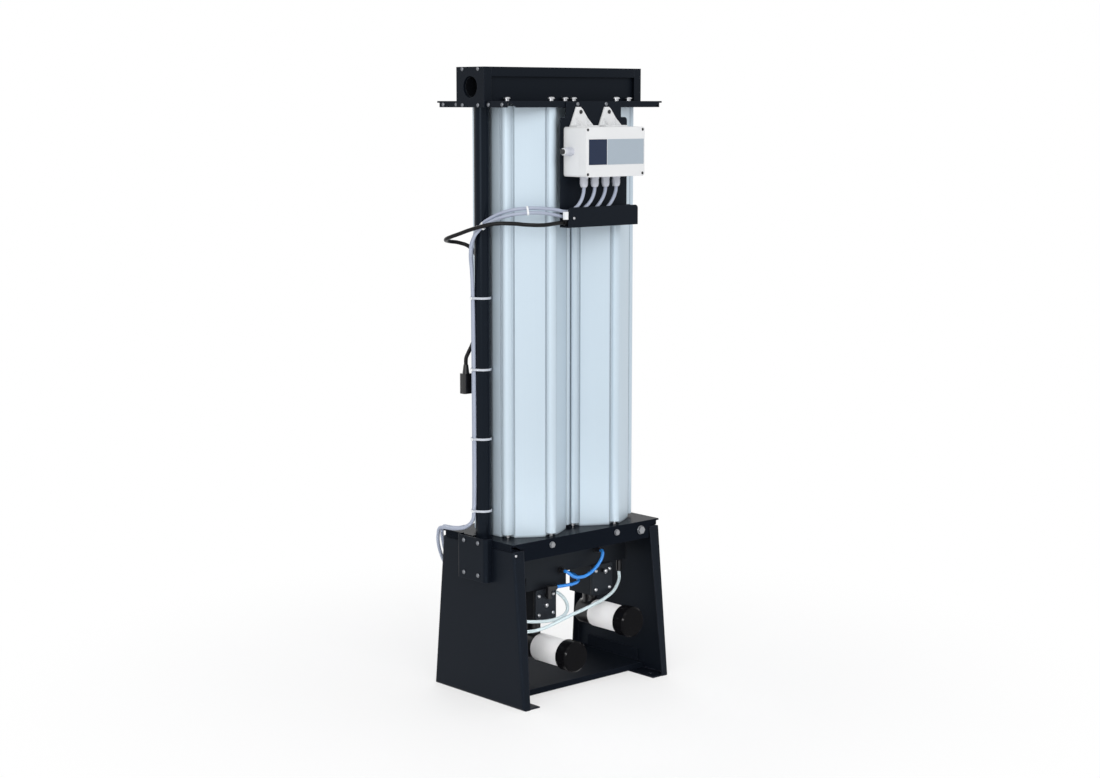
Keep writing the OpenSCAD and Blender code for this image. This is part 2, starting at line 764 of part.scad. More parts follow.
module top_plate() {
    mid = (top_left + top_right)/2;
    half = (top_right - top_left)/2;
    color(black_paint) difference() {
        union() {
            box([top_left, -plate_y, under_top], [top_right, plate_y, top_z]);
            for (y = [-plate_y, plate_y - plate_t])
                translate([mid, 0, top_z]) upright(y, plate_t)
                    apron_outline(half, top_lip, half - lip_cut - 1, top_lip);
            for (x = [top_left, top_right - plate_t])
                box([x, -plate_y + 8, end_bottom], [x + plate_t, plate_y - 8, under_top + eps]);
        }
        at_columns() translate([0, 0, under_top - eps]) {
            cylinder(r = neck_r + fit, h = plate_t + 2*eps);
            at_lobes() cylinder(r = bolt_hole_r, h = plate_t + 2*eps);
        }
        translate([riser_x, 0, under_top - eps]) cylinder(r = riser_d/2 + fit, h = plate_t + 2*eps);
        for (y = lip_screw_ys) rod_x([top_left - eps, y, lip_screw_z], small_hole_r, plate_t + 2*eps);
        for (x = lug_xs) rod_y([x - lug_lean, -plate_y - eps, tab_screw_z], small_hole_r, plate_t + 2*eps);
    }
}

module header_body() {
    color(black_paint) difference() {
        union() {
            box([top_left + fit, -wall_y, top_z], [top_right - fit, wall_y, floor_z]);
            for (y = [-wall_y, wall_y - sheet_t])
                box([top_left + fit, y, top_z], [top_right - fit, y + sheet_t, lid_z]);
        }
        at_columns() translate([0, 0, top_z - eps]) cylinder(r = neck_r + fit, h = sheet_t + 2*eps);
        translate([riser_x, 0, top_z - eps]) cylinder(r = riser_d/2 + fit, h = sheet_t + 2*eps);
    }
}

module header_lid() {
    color(black_paint) {
        box([top_left, -header_y, lid_z], [top_right, header_y, header_top]);
        for (y = [-header_y, header_y - sheet_t])
            box([top_left + end_flange + fit, y, header_top - lid_lip],
                [top_right - end_flange - fit, y + sheet_t, lid_z + eps]);
    }
}

// An end plate with its inner face at X = 0 and its flanges to the +X side
module end_plate() {
    difference() {
        union() {
            box([-end_t, -header_y, end_bottom], [0, header_y, header_top]);
            for (y = [-header_y, header_y - sheet_t])
                box([-eps, y, top_z], [end_flange, y + sheet_t, lid_z - fit]);
        }
        rod_x([-end_t - eps, 0, port_z], port_hole_r, end_t + 2*eps);
        for (y = [-end_screw_y, end_screw_y], z = end_screw_z)
            rod_x([-end_t - eps, y, z], small_hole_r, end_t + 2*eps);
    }
}

module inlet_end_plate() {
    color(black_paint) translate([top_left, 0, 0]) end_plate();
}

module outlet_end_plate() {
    color(black_paint) translate([top_right, 0, 0]) mirror([1, 0, 0]) end_plate();
}

module end_plate_screws() {
    head_r = 4.5;
    head_h = 2.6;
    color(silver) {
        for (y = [-end_screw_y, end_screw_y], z = end_screw_z) {
            translate([top_left - end_t, y, z]) rotate([0, 90, 0]) screw(head_r, head_h, small_screw_r, end_t - fit);
            translate([top_right + end_t, y, z]) rotate([0, -90, 0]) screw(head_r, head_h, small_screw_r, end_t - fit);
        }
        for (y = lip_screw_ys)
            translate([top_left, y, lip_screw_z]) rotate([0, 90, 0]) screw(head_r, head_h, small_screw_r, plate_t);
        for (x = lug_xs) translate([x - lug_lean, bracket_y, tab_screw_z]) rotate([-90, 0, 0])
            screw(head_r, head_h, small_screw_r, sheet_t + plate_t);
    }
}

// Block that turns the air from the inlet port down into the riser
module inlet_elbow() {
    color(silver) difference() {
        box([top_left, -block_y, floor_z], [inlet_x1, block_y, block_top]);
        rod_x([top_left - eps, 0, port_z], port_r, port_len + eps);
        translate([riser_x, 0, floor_z - eps]) {
            cylinder(r = riser_d/2 + fit, h = riser_top_z + fit - floor_z + eps);
            cylinder(r = riser_d/2 - riser_wall, h = port_z - floor_z + eps);
        }
    }
}

// Block that gathers the dry air behind a check valve above each column
module outlet_manifold() {
    color(silver) difference() {
        box([outlet_x0, -block_y, floor_z], [top_right, block_y, block_top]);
        rod_x([top_right - port_len, 0, port_z], port_r, port_len + eps);
        rod_x([left_x, 0, gather_z], chamber_r, top_right - port_len - left_x + eps);
        rod_x([left_x, 0, purge_z], 3.5, column_pitch);
        at_columns() {
            translate([0, 0, floor_z - eps]) cylinder(r = neck_r + fit, h = socket_depth + eps);
            translate([0, 0, plenum_z - eps]) cylinder(r = plenum_r, h = seat_z - plenum_z + eps);
            translate([0, 0, seat_z - eps]) cylinder(r = seat_r, h = chamber_z - seat_z + 2*eps);
            translate([0, 0, chamber_z]) cylinder(r = chamber_r, h = gather_z + chamber_r - chamber_z);
        }
    }
}

module check_balls() {
    rest = sqrt(ball_r*ball_r - seat_r*seat_r);
    color("#b9bcc0") at_columns() translate([0, 0, chamber_z + rest + fit]) sphere(ball_r);
}

module purge_nozzle() {
    mid = (left_x + right_x)/2;
    color("#b8923f") difference() {
        rod_x([mid - 7, 0, purge_z], 3.4, 14);
        rod_x([mid - 7 - eps, 0, purge_z], 0.8, 14 + 2*eps);
    }
}

// Riser

module riser_tube() {
    z0 = elbow_top - socket_depth + fit;
    len = riser_top_z - z0;
    color(black_paint) translate([riser_x, 0, z0]) difference() {
        cylinder(r = riser_d/2, h = len);
        translate([0, 0, -eps]) cylinder(r = riser_d/2 - riser_wall, h = len + 2*eps);
    }
}

// Block that turns the air from the riser into the manifold
module riser_foot() {
    color(silver) difference() {
        box([elbow_x0, -elbow_w/2, elbow_bottom], [elbow_x1, elbow_w/2, elbow_top]);
        translate([riser_x, 0, elbow_top - socket_depth]) cylinder(r = riser_d/2 + fit, h = socket_depth + eps);
        translate([riser_x, 0, gallery_z]) cylinder(r = air_r, h = elbow_top - gallery_z);
        rod_x([riser_x, 0, gallery_z], air_r, elbow_x1 - riser_x + eps);
        for (y = [-cover_screw_y, cover_screw_y], z = cover_screw_z)
            rod_x([elbow_x0 - eps, y, z], 2.5, 14);
    }
}

// Folded cover over the elbow block, outside the left panel
module foot_cover() {
    top = base_top + sheet_t;
    color(black_paint) difference() {
        translate([0, 0, cover_bottom]) linear_extrude(top - cover_bottom) difference() {
            union() {
                translate([cover_x + cover_corner, -cover_w/2]) square([cover_proud - cover_corner, cover_w]);
                translate([cover_x, -cover_w/2 + cover_corner]) square([cover_proud, cover_w - 2*cover_corner]);
                for (s = [-1, 1]) translate([cover_x + cover_corner, s*(cover_w/2 - cover_corner)]) circle(cover_corner);
            }
            translate([cover_x + cover_corner, -cover_w/2 + sheet_t])
                square([cover_proud, cover_w - 2*sheet_t]);
            translate([cover_x + sheet_t, -cover_w/2 + cover_corner]) square([cover_proud, cover_w - 2*cover_corner]);
            for (s = [-1, 1]) translate([cover_x + cover_corner, s*(cover_w/2 - cover_corner)])
                circle(cover_corner - sheet_t);
        }
        for (y = [-cover_screw_y, cover_screw_y], z = cover_screw_z)
            rod_x([cover_x - eps, y, z], 2.7, sheet_t + 2*eps);
    }
}

module cover_screws() {
    color(silver) for (y = [-cover_screw_y, cover_screw_y], z = cover_screw_z)
        translate([cover_x, y, z]) rotate([0, 90, 0]) screw(5, 3, 2.4, 12);
}

// Controller

module bracket_outline() {
    tab_x0 = box_x0 + 8;
    tab_x1 = box_x1 - 4;
    translate([bracket_x0, trough_z0]) square([bracket_x1 - bracket_x0, box_z0 - trough_z0]);
    translate([bracket_x0, trough_z0]) rounded_rect([bracket_x1 - bracket_x0, shoulder_z - trough_z0], bracket_corner);
    translate([bracket_x0, trough_z0]) square([trough_x1 - bracket_x0, trough_h]);
    translate([tab_x0, box_z0]) square([tab_x1 - tab_x0, tab_z - box_z0]);
}

// Folded plate that hangs from the top plate's lip and ends in the cable trough
module controller_bracket() {
    color(black_paint) difference() {
        union() {
            upright(bracket_y, sheet_t) bracket_outline();
            box([bracket_x0 + 2, trough_front - sheet_t, trough_z0], [trough_x1, bracket_y + eps, trough_z0 + sheet_t]);
            upright(trough_front - sheet_t, sheet_t) translate([bracket_x0 + 2, trough_z0])
                rounded_rect([trough_x1 - bracket_x0 - 2, trough_h], bracket_corner);
            box([bracket_x0 + 2, trough_front - sheet_t, trough_z0],
                [trough_x1, trough_front, trough_z0 + bracket_corner]);
        }
        for (x = lug_xs) {
            rod_y([x - lug_screw_lean, bracket_y - eps, lug_screw_z], lug_hole_r, sheet_t + 2*eps);
            rod_y([x - lug_lean, bracket_y - eps, tab_screw_z], small_hole_r, sheet_t + 2*eps);
        }
    }
}

module box_shell(y, depth, floor_y, floor_t) {
    difference() {
        translate([box_x0, 0, box_z0]) upright(y, depth) rounded_rect([box_w, box_h], box_corner);
        translate([box_x0 + box_wall, 0, box_z0 + box_wall]) upright(floor_y, depth - floor_t)
            rounded_rect([box_w - 2*box_wall, box_h - 2*box_wall], box_corner - box_wall + 1);
    }
}

module controller_box() {
    color(off_white) difference() {
        union() {
            box_shell(box_front, box_d, box_front - eps, box_wall - eps);
            for (x = [box_x0 + pillar_in, box_x1 - pillar_in], z = [box_z0 + pillar_in, box_z1 - pillar_in])
                rod_y([x, bracket_y - box_wall - pillar_h, z], 4, pillar_h);
        }
        for (x = gland_xs) translate([x, gland_y, box_z0 - eps]) cylinder(r = gland_r - 2, h = box_wall + 2*eps);
        rod_x([box_x0 - eps, gland_y, side_gland_z], gland_r - 2, box_wall + 2*eps);
    }
}

module controller_lid() {
    color(off_white) difference() {
        box_shell(lid_front, lid_d, lid_front + box_wall, box_wall);
        for (x = [box_x0 + lid_screw_in, box_x1 - lid_screw_in], z = [box_z0 + lid_screw_in, box_z1 - lid_screw_in])
            rod_y([x, lid_front - eps, z], 3.2, 3 + eps);
    }
}

// Two gusseted lugs that stand on the box and hold it to the bracket
module fixing_lugs() {
    color(off_white) for (x = lug_xs) difference() {
        union() {
            upright(bracket_y - lug_t, lug_t) polygon([
                [x - lug_w/2, box_z1], [x + lug_w/2, box_z1],
                [x - lug_lean + lug_apex_w, lug_screw_z + 6], [x - lug_lean + lug_apex_w/2, box_z1 + lug_h],
                [x - lug_lean - lug_apex_w/2, box_z1 + lug_h]]);
            for (s = [-1, 1]) translate([x + s*lug_w/4 - lug_t/2, 0, 0])
                rotate([90, 0, 90]) linear_extrude(lug_t) polygon([
                    [bracket_y - lug_t, box_z1], [bracket_y - 26, box_z1], [bracket_y - lug_t, box_z1 + 20]]);
            box([x - lug_w/2, bracket_y - 26, box_z1], [x + lug_w/2, bracket_y, box_z1 + lug_t]);
        }
        rod_y([x - lug_screw_lean, bracket_y - lug_t - eps, lug_screw_z], lug_hole_r, lug_t + 2*eps);
    }
}

module controller_screws() {
    color("#1c1c1e") {
        for (x = lug_xs) translate([x - lug_screw_lean, bracket_y - lug_t, lug_screw_z]) rotate([-90, 0, 0])
            screw(4.5, 3, 2, lug_t + 2);
        for (x = [box_x0 + lid_screw_in, box_x1 - lid_screw_in], z = [box_z0 + lid_screw_in, box_z1 - lid_screw_in])
            rod_y([x, lid_front - 0.6, z], 3, 3.4);
    }
}

module circuit_board() {
    y = bracket_y - box_wall - pillar_h - board_t;
    color("#2f6b3c") {
        box([box_x0 + 14, y, box_z0 + 14], [box_x1 - 14, y + board_t, box_z1 - 14]);
        box([box_x0 + 26, y - 12, box_z0 + 18], [box_x1 - 40, y, box_z0 + 30]);
        box([box_x0 + 30, y - 9, box_z1 - 46], [box_x0 + 62, y, box_z1 - 24]);
    }
}

module label_plate() {
    color("#9fb0c4") box([label_x0, lid_front - label_t, label_z0], [label_x1, lid_front, label_z1]);
}

// A gland with its seat at the origin, pointing along -Z
module gland(bore) {
    difference() {
        union() {
            translate([0, 0, -6]) cylinder(r = gland_r*1.1, h = 6, $fn = 6);
            translate([0, 0, -gland_len + 4]) cylinder(r = gland_r*0.95, h = gland_len - 9);
            translate([0, 0, -gland_len]) cylinder(r1 = gland_r*0.7, r2 = gland_r*0.95, h = 4);
        }
        translate([0, 0, -gland_len - eps]) cylinder(r = bore, h = gland_len);
    }
}

module cable_glands() {
    color(pale_grey) {
        for (x = gland_xs) translate([x, gland_y, box_z0]) gland(cable_r + fit);
        translate([box_x0, gland_y, side_gland_z]) rotate([0, 90, 0]) gland(cable_r + fit);
    }
}

// Tapered sleeve that grips the mains lead where it leaves the trough
module lead_boot() {
    color("#17181a") translate([bracket_x0, bracket_y - trough_d/2, trough_z0 + sheet_t + boot_r]) rotate([0, 90, 0]) {
        cylinder(r1 = lead_r + 1.5, r2 = boot_r, h = boot_len);
        translate([0, 0, boot_len]) cylinder(r = boot_r, h = boot_grip);
    }
}

module control_cables() {
    color("#8b93a6") {
        swept(control_a, cable_r);
        swept(control_b, cable_r);
        swept(drop_c, cable_r);
        swept(drop_d, cable_r);
    }
}

module power_lead() {
    color("#141518") swept(lead_route, lead_r);
}

// Plug that hangs on the end of the lead, tied beside the riser
module power_plug() {
    tip = lead_route[len(lead_route) - 1];
    color("#141518") translate(tip) {
        translate([0, 0, -20]) cylinder(r1 = 8, r2 = lead_r + 1, h = 20);
        translate([-12, -10, -66]) linear_extrude(46) rounded_rect([24, 20], 5);
    }
}

// Outline of a tie round the riser and the cables beside it
module tie_outline(wall) {
    grow = fit + wall;
    hull() {
        translate([riser_x, 0]) circle(riser_d/2 + grow, $fn = 32);
        for (p = [riser_a, riser_b]) translate(p) circle(cable_r + grow, $fn = 24);
    }
}

module cable_ties() {
    tie_h = 5;
    color("#eef0f2") for (z = tie_zs) translate([0, 0, z - tie_h/2]) linear_extrude(tie_h) difference() {
        tie_outline(tie_t);
        tie_outline(0);
    }
}

// Valve bay

module air_manifold() {
    color("#2a2e35") difference() {
        union() {
            box([elbow_x1, manifold_y0, manifold_z0], [manifold_x1, manifold_y1, manifold_z1]);
            box([step_x0, manifold_y0, manifold_z0 - manifold_step], [step_x1, manifold_y1, manifold_z0 + eps]);
        }
        rod_x([elbow_x1 - eps, 0, gallery_z], air_r, valve_xs[1] - elbow_x1 + 10);
        at_columns() translate([0, 0, manifold_z1 - socket_depth])
            cylinder(r = neck_r + fit, h = socket_depth + eps);
        for (k = [0, 1]) translate([valve_xs[k], 0, valve_tops[k] - eps]) {
            cylinder(r = 8, h = gallery_z - valve_tops[k]);
            translate([0, exhaust_y, 0]) cylinder(r = 7, h = manifold_z1 - socket_depth - valve_tops[k] + 2);
        }
    }
}

// A valve body under the manifold, open to the front behind its diaphragm
module valve_body(k) {
    x = valve_xs[k];
    top = valve_tops[k];
    mid = top - valve_h/2;
    color("#2a2e35") difference() {
        box([x - valve_w/2, body_front, top - valve_h], [x + valve_w/2, valve_back, top]);
        rod_y([x, body_front - eps, mid], 20, 14);
        rod_y([x, body_front, mid], 11, 26);
        translate([x, 0, mid]) cylinder(r = 8, h = valve_h/2 + eps);
        translate([x, exhaust_y, mid]) cylinder(r = 7, h = valve_h/2 + eps);
        translate([x, exhaust_y, top - valve_h - eps]) cylinder(r = air_r, h = valve_h/2);
        for (sx = [-1, 1], sz = [-1, 1])
            rod_y([x + sx*valve_screw_x, body_front - eps, mid + sz*valve_screw_z], valve_screw_r + 0.1, 18);
    }
}

module left_valve_body() {
    valve_body(0);
}

module right_valve_body() {
    valve_body(1);
}

module at_valve_screws(y) {
    for (k = [0, 1], sx = [-1, 1], sz = [-1, 1])
        translate([valve_xs[k] + sx*valve_screw_x, y, valve_tops[k] - valve_h/2 + sz*valve_screw_z])
            rotate([-90, 0, 0]) children();
}

module valve_covers() {
    color("#33373e") difference() {
        for (k = [0, 1]) translate([valve_xs[k] - valve_w/2, 0, valve_tops[k] - valve_h])
            upright(valve_front, valve_cover_t) rounded_rect([valve_w, valve_h], 4);
        at_valve_screws(valve_front - eps) cylinder(r = valve_screw_r + 0.2, h = valve_cover_t + 2*eps);
    }
}

module valve_diaphragms() {
    color("#1a1a1a") difference() {
        for (k = [0, 1]) translate([valve_xs[k] - valve_w/2, 0, valve_tops[k] - valve_h])
            upright(valve_seam, diaphragm_t) rounded_rect([valve_w, valve_h], 4);
        at_valve_screws(valve_seam - eps) cylinder(r = valve_screw_r + 0.2, h = diaphragm_t + 2*eps);
    }
}

module valve_screws() {
    color(silver) at_valve_screws(valve_front) screw(4.2, 3.4, valve_screw_r, valve_cover_t + diaphragm_t + 12);
}

// Elbows that turn the exhaust from the valves to the silencers
module exhaust_elbows() {
    color("#15171a") for (k = [0, 1]) {
        x = valve_xs[k];
        z = silencer_zs[k];
        bottom = valve_tops[k] - valve_h;
        difference() {
            union() {
                rod_y([x, adapter_front, z], adapter_r, adapter_back - adapter_front);
                translate([x, exhaust_y, z]) cylinder(r = exhaust_r, h = bottom - z);
            }
            rod_y([x, adapter_front - eps, z], air_r, exhaust_y - adapter_front + air_r);
            translate([x, exhaust_y, z]) cylinder(r = air_r - 1, h = bottom - z + eps);
        }
    }
}

module silencer_elements() {
    color("#cfcfd2") for (k = [0, 1]) difference() {
        rod_y([valve_xs[k], element_front, silencer_zs[k]], silencer_r, silencer_len);
        rod_y([valve_xs[k], element_front + 6, silencer_zs[k]], silencer_r - 9, silencer_len);
    }
}

module silencer_caps() {
    color("#101114") for (k = [0, 1])
        translate([valve_xs[k], cap_front, silencer_zs[k]]) rotate([-90, 0, 0]) rotate_extrude()
            polygon([[0, 0], [cap_r - 4, 0], [cap_r, 4], [cap_r, cap_len], [0, cap_len]]);
}

module pilot_valve() {
    color("#2a2e35") box([panel_in, -pilot_y, pilot_z], [panel_in + pilot_w, pilot_y, pilot_z + pilot_h]);
}

module pilot_coils() {
    color("#1d1f23") {
        rod_y([panel_in + pilot_w/2, pilot_y, pilot_z + 29], 9, coil_len);
        rod_y([panel_in + pilot_w/2, pilot_y, pilot_z + 10], 9, coil_len);
    }
}

// A straight push-in fitting with its seat at the origin, pointing along +Z
module straight_fitting(len) {
    difference() {
        union() {
            cylinder(r = tube_r + 4, h = 4, $fn = 6);
            translate([0, 0, 4]) cylinder(r = tube_r + 2.6, h = len - 7);
            translate([0, 0, len - 3]) cylinder(r = tube_r + 1.6, h = 3);
        }
        translate([0, 0, 4]) cylinder(r = tube_r + 0.2, h = len);
    }
}

// An elbow fitting on a valve cover: a stem out of the cover, then a barrel to the right
module elbow_fitting(x, z, rise, reach) {
    y = valve_front - 10;
    rod_y([x, y, z], 5, 10);
    translate([x, y, z - 6]) cylinder(r = 6.5, h = rise + 12);
    rod_x([x, y, z + rise], 6.5, reach);
}

module push_in_fittings() {
    color("#1b1d21") {
        elbow_fitting(valve_xs[0], valve_tops[0] - stem_drop, elbow_rise, elbow_reach);
        rod_y([valve_xs[1], valve_front - 9, valve_tops[1] - stem_drop], 5, 9);
        for (p = loop_ports) translate([p[0], manifold_y0, p[1]]) rotate([90, 0, 0]) straight_fitting(short_fitting);
        translate(hanging_port) rotate([180, 0, 0]) straight_fitting(long_fitting);
        translate(valve_side_port) rotate([0, 90, 0]) straight_fitting(mid_fitting);
        translate(pilot_side_port) rotate([0, 90, 0]) straight_fitting(short_fitting);
        for (z = pilot_ports) translate([panel_in + pilot_w/2, -pilot_y, z]) rotate([90, 0, 0])
            straight_fitting(mid_fitting);
    }
}

module blue_tubes() {
    color("#2f8ae0") {
        swept(blue_a, tube_r);
        swept(blue_b, tube_r);
    }
}

module white_tubes() {
    color("#cfdde2") {
        swept(white_a, tube_r);
        swept(white_b, tube_r);
    }
}

left_side_panel();
right_side_panel();
floor_pan();
base_plate();
frame_bolts();
apron_bolts();
left_column();
right_column();
lower_column_bolts();
upper_column_bolts();
left_lower_plug();
right_lower_plug();
left_upper_plug();
right_upper_plug();
plug_rings();
lower_screens();
upper_screens();
left_bead_bed();
right_bead_bed();
top_plate();
header_body();
header_lid();
inlet_end_plate();
outlet_end_plate();
end_plate_screws();
inlet_elbow();
outlet_manifold();
check_balls();
purge_nozzle();
riser_tube();
riser_foot();
foot_cover();
cover_screws();
controller_bracket();
controller_box();
controller_lid();
fixing_lugs();
controller_screws();
circuit_board();
label_plate();
cable_glands();
lead_boot();
control_cables();
power_lead();
power_plug();
cable_ties();
air_manifold();
left_valve_body();
right_valve_body();
valve_covers();
valve_diaphragms();
valve_screws();
exhaust_elbows();
silencer_elements();
silencer_caps();
pilot_valve();
pilot_coils();
push_in_fittings();
blue_tubes();
white_tubes();
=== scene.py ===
import math
import bpy
from mathutils import Vector, Matrix


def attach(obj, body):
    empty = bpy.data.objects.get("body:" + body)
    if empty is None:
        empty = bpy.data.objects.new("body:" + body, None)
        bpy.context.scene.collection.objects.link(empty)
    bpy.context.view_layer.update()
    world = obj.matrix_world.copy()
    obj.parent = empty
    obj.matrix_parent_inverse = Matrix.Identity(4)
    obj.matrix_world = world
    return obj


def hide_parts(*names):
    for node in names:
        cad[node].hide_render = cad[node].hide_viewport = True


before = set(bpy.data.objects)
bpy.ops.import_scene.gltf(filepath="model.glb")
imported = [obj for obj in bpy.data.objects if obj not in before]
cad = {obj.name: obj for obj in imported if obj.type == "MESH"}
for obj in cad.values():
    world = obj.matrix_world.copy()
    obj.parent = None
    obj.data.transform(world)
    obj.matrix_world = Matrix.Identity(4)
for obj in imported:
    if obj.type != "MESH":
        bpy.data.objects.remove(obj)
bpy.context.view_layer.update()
mm = 0.001
scene = bpy.context.scene
scene.view_settings.view_transform = "Standard"
print("frame loaded:", len(cad), "nodes")


class Wire:  # one output socket, with maths on it written as Python
    def __init__(self, graph, socket):
        self.graph = graph
        self.socket = socket

    def other(self, name):
        return Wire(self.graph, self.socket.node.outputs[name])

    def maths(self, operation, a, b):
        return self.graph.node("ShaderNodeMath", {"operation": operation}, {0: a, 1: b})

    def __add__(self, b):
        return self.maths("ADD", self, b)

    def __radd__(self, a):
        return self.maths("ADD", a, self)

    def __sub__(self, b):
        return self.maths("SUBTRACT", self, b)

    def __rsub__(self, a):
        return self.maths("SUBTRACT", a, self)

    def __mul__(self, b):
        return self.maths("MULTIPLY", self, b)

    def __rmul__(self, a):
        return self.maths("MULTIPLY", a, self)

    def __truediv__(self, b):
        return self.maths("DIVIDE", self, b)

    def __rtruediv__(self, a):
        return self.maths("DIVIDE", a, self)

    def __gt__(self, b):
        return self.maths("GREATER_THAN", self, b)

    def __lt__(self, b):
        return self.maths("LESS_THAN", self, b)


class Graph:  # a shader tree or a geometry tree
    def __init__(self, tree):
        self.tree = tree

    def node(self, kind, settings=None, inputs=None, out=0):
        made = self.tree.nodes.new(kind)
        for key, value in (settings or {}).items():
            setattr(made, key, value)
        for key, value in (inputs or {}).items():
            if isinstance(value, Wire):
                self.tree.links.new(value.socket, made.inputs[key])
            else:
                made.inputs[key].default_value = value
        return Wire(self, made.outputs[out])

    def seen(self):  # 1 for what the camera sees, straight, in a gloss or through glass
        rays = self.node("ShaderNodeLightPath", out="Is Camera Ray")
        mirrored = rays.maths("MAXIMUM", rays, rays.other("Is Glossy Ray"))
        return rays.maths("MAXIMUM", mirrored, rays.other("Is Transmission Ray"))


class Finish(Graph):  # a material round one Principled shader
    def __init__(self, name, **fixed):
        self.material = bpy.data.materials.new(name)
        self.material.use_nodes = True
        super().__init__(self.material.node_tree)
        self.shader = self.tree.nodes["Principled BSDF"]
        for key, value in fixed.items():
            self.shader.inputs[key.replace("_", " ")].default_value = value
        self.place = self.node("ShaderNodeTexCoord", out="Object")

    def feed(self, **wires):
        for key, wire in wires.items():
            self.tree.links.new(wire.socket, self.shader.inputs[key.replace("_", " ")])

    def noise(self, scale, detail=2.0, stretch=None):
        where = self.place
        if stretch:
            where = self.node("ShaderNodeMapping", None, {"Vector": where, "Scale": stretch})
        return self.node("ShaderNodeTexNoise", None, {"Vector": where, "Scale": scale, "Detail": detail})

    def blend(self, weight, low, high):
        return self.node("ShaderNodeMix", {"data_type": "RGBA"}, {0: weight, 6: low, 7: high}, 2)

    def softEdge(self, radius):
        return self.node("ShaderNodeBevel", {"samples": 4}, {"Radius": radius})

    def edgeMask(self, soft, gain):  # grows from 0 on a flat face to 1 on a sharp edge
        flat = self.node("ShaderNodeNewGeometry", out="Normal")
        dot = self.node("ShaderNodeVectorMath", {"operation": "DOT_PRODUCT"}, {0: soft, 1: flat}, "Value")
        return self.node("ShaderNodeClamp", None, {"Value": (1 - dot) * gain})

    def bump(self, height, strength, distance, normal=None):
        sockets = {"Height": height, "Strength": strength, "Distance": distance}
        if normal:
            sockets["Normal"] = normal
        return self.node("ShaderNodeBump", None, sockets)


def rgb(r, g, b):
    return (r, g, b, 1.0)


# powder coat and black castings, with a fine peel and paler edges that are partly wear and partly a painted
# highlight
powder = {"cloudScale": 7, "cloudDetail": 4, "peelScale": 420, "grainScale": 1800, "grainDetail": 1,
          "grainRough": 0.06, "edgeGain": 5.0, "edgeWearAndHighlight": 0.6, "peelShare": 0.7, "strength": 0.10,
          "depth": 0.0004, "tint": rgb(0.66, 0.82, 1.0)}


def coatedSteel(name, shades, rough, spread, edge, specular):
    f = Finish(name, Metallic=0.0, Specular_IOR_Level=specular, Specular_Tint=powder["tint"])
    cloud = f.noise(powder["cloudScale"], powder["cloudDetail"])
    peel = f.noise(powder["peelScale"])
    grain = f.noise(powder["grainScale"], powder["grainDetail"])
    soft = f.softEdge(edge)
    # painted highlight: the edge mask lightens the base colour on edges and bends, partly as wear and partly
    # as a painted highlight
    wearAndHighlight = f.edgeMask(soft, powder["edgeGain"]) * powder["edgeWearAndHighlight"]
    height = peel * powder["peelShare"] + grain * (1 - powder["peelShare"])
    f.feed(Base_Color=f.blend(wearAndHighlight, f.blend(cloud, shades["low"], shades["high"]), shades["wornAndLit"]),
           Roughness=rough + (cloud - 0.5) * spread + (grain - 0.5) * powder["grainRough"],
           Normal=f.bump(height, powder["strength"], powder["depth"], soft))
    return f.material


# bare metal, with lines along the way it was drawn or turned, and where asked a painted shade in narrow gaps
drawn = {"lineDetail": 3, "lineShare": 0.7, "cloudScale": 5, "cloudDetail": 3, "cloudRough": 0.05,
         "depth": 0.0002, "gapShadeSamples": 8}


def drawnMetal(name, low, high, rough, spread, stretch, strength, edge, metallic=1.0, paintedGapShade=None):
    f = Finish(name, Metallic=metallic)
    lines = f.noise(1.0, drawn["lineDetail"], stretch)
    cloud = f.noise(drawn["cloudScale"], drawn["cloudDetail"])
    soft = f.softEdge(edge)
    shade = f.blend(lines * drawn["lineShare"] + cloud * (1 - drawn["lineShare"]), low, high)
    # painted shade: an ambient occlusion mask darkens the base colour in narrow gaps
    if paintedGapShade:  # narrow gaps go dark
        clear = f.node("ShaderNodeAmbientOcclusion", {"samples": drawn["gapShadeSamples"]},
                       {"Distance": paintedGapShade["reach"]}, "AO")
        shade = f.blend(clear, paintedGapShade["shade"], shade)
    f.feed(Base_Color=shade,
           Roughness=rough + (lines - 0.5) * spread + (cloud - 0.5) * drawn["cloudRough"],
           Normal=f.bump(lines, strength, drawn["depth"], soft))
    return f.material


# plastics, rubber, sheaths and tubes, with a moulded grain
mould = {"cloudScale": 14, "cloudDetail": 3, "cloudRough": 0.04, "depth": 0.0003}


def moulded(name, low, high, rough, spread, grainScale, strength, edge, coat=0.0, specular=0.5):
    f = Finish(name, Metallic=0.0, Coat_Weight=coat, Specular_IOR_Level=specular)
    cloud = f.noise(mould["cloudScale"], mould["cloudDetail"])
    grain = f.noise(grainScale)
    soft = f.softEdge(edge)
    f.feed(Base_Color=f.blend(cloud, low, high),
           Roughness=rough + (grain - 0.5) * spread + (cloud - 0.5) * mould["cloudRough"],
           Normal=f.bump(grain, strength, mould["depth"], soft))
    return f.material


# a bare film: a dark field at the left, a pale one at the right, a thin rule between them
film = {"split": -0.016, "halfRule": 0.0006, "dark": rgb(0.010, 0.020, 0.052), "pale": rgb(0.36, 0.42, 0.48),
        "rule": rgb(0.75, 0.77, 0.8), "haze": rgb(0.7, 0.72, 0.75), "hazeShare": 0.01, "grainScale": 900,
        "cloudScale": 20, "rough": 0.34, "spread": 0.1, "strength": 0.04, "depth": 0.0002, "specular": 0.2}


def labelFilm():
    f = Finish("labelFilm", Metallic=0.0, Specular_IOR_Level=film["specular"])
    x = f.node("ShaderNodeSeparateXYZ", None, {0: f.place}, "X")
    grain = f.noise(film["grainScale"])
    cloud = f.noise(film["cloudScale"])
    right = x > film["split"]
    onRule = (x > film["split"] - film["halfRule"]) * (x < film["split"] + film["halfRule"])
    shade = f.blend(onRule, f.blend(right, film["dark"], film["pale"]), film["rule"])
    f.feed(Base_Color=f.blend(cloud * film["hazeShare"], shade, film["haze"]),
           Roughness=film["rough"] + (grain - 0.5) * film["spread"],
           Normal=f.bump(grain, film["strength"], film["depth"]))
    return f.material
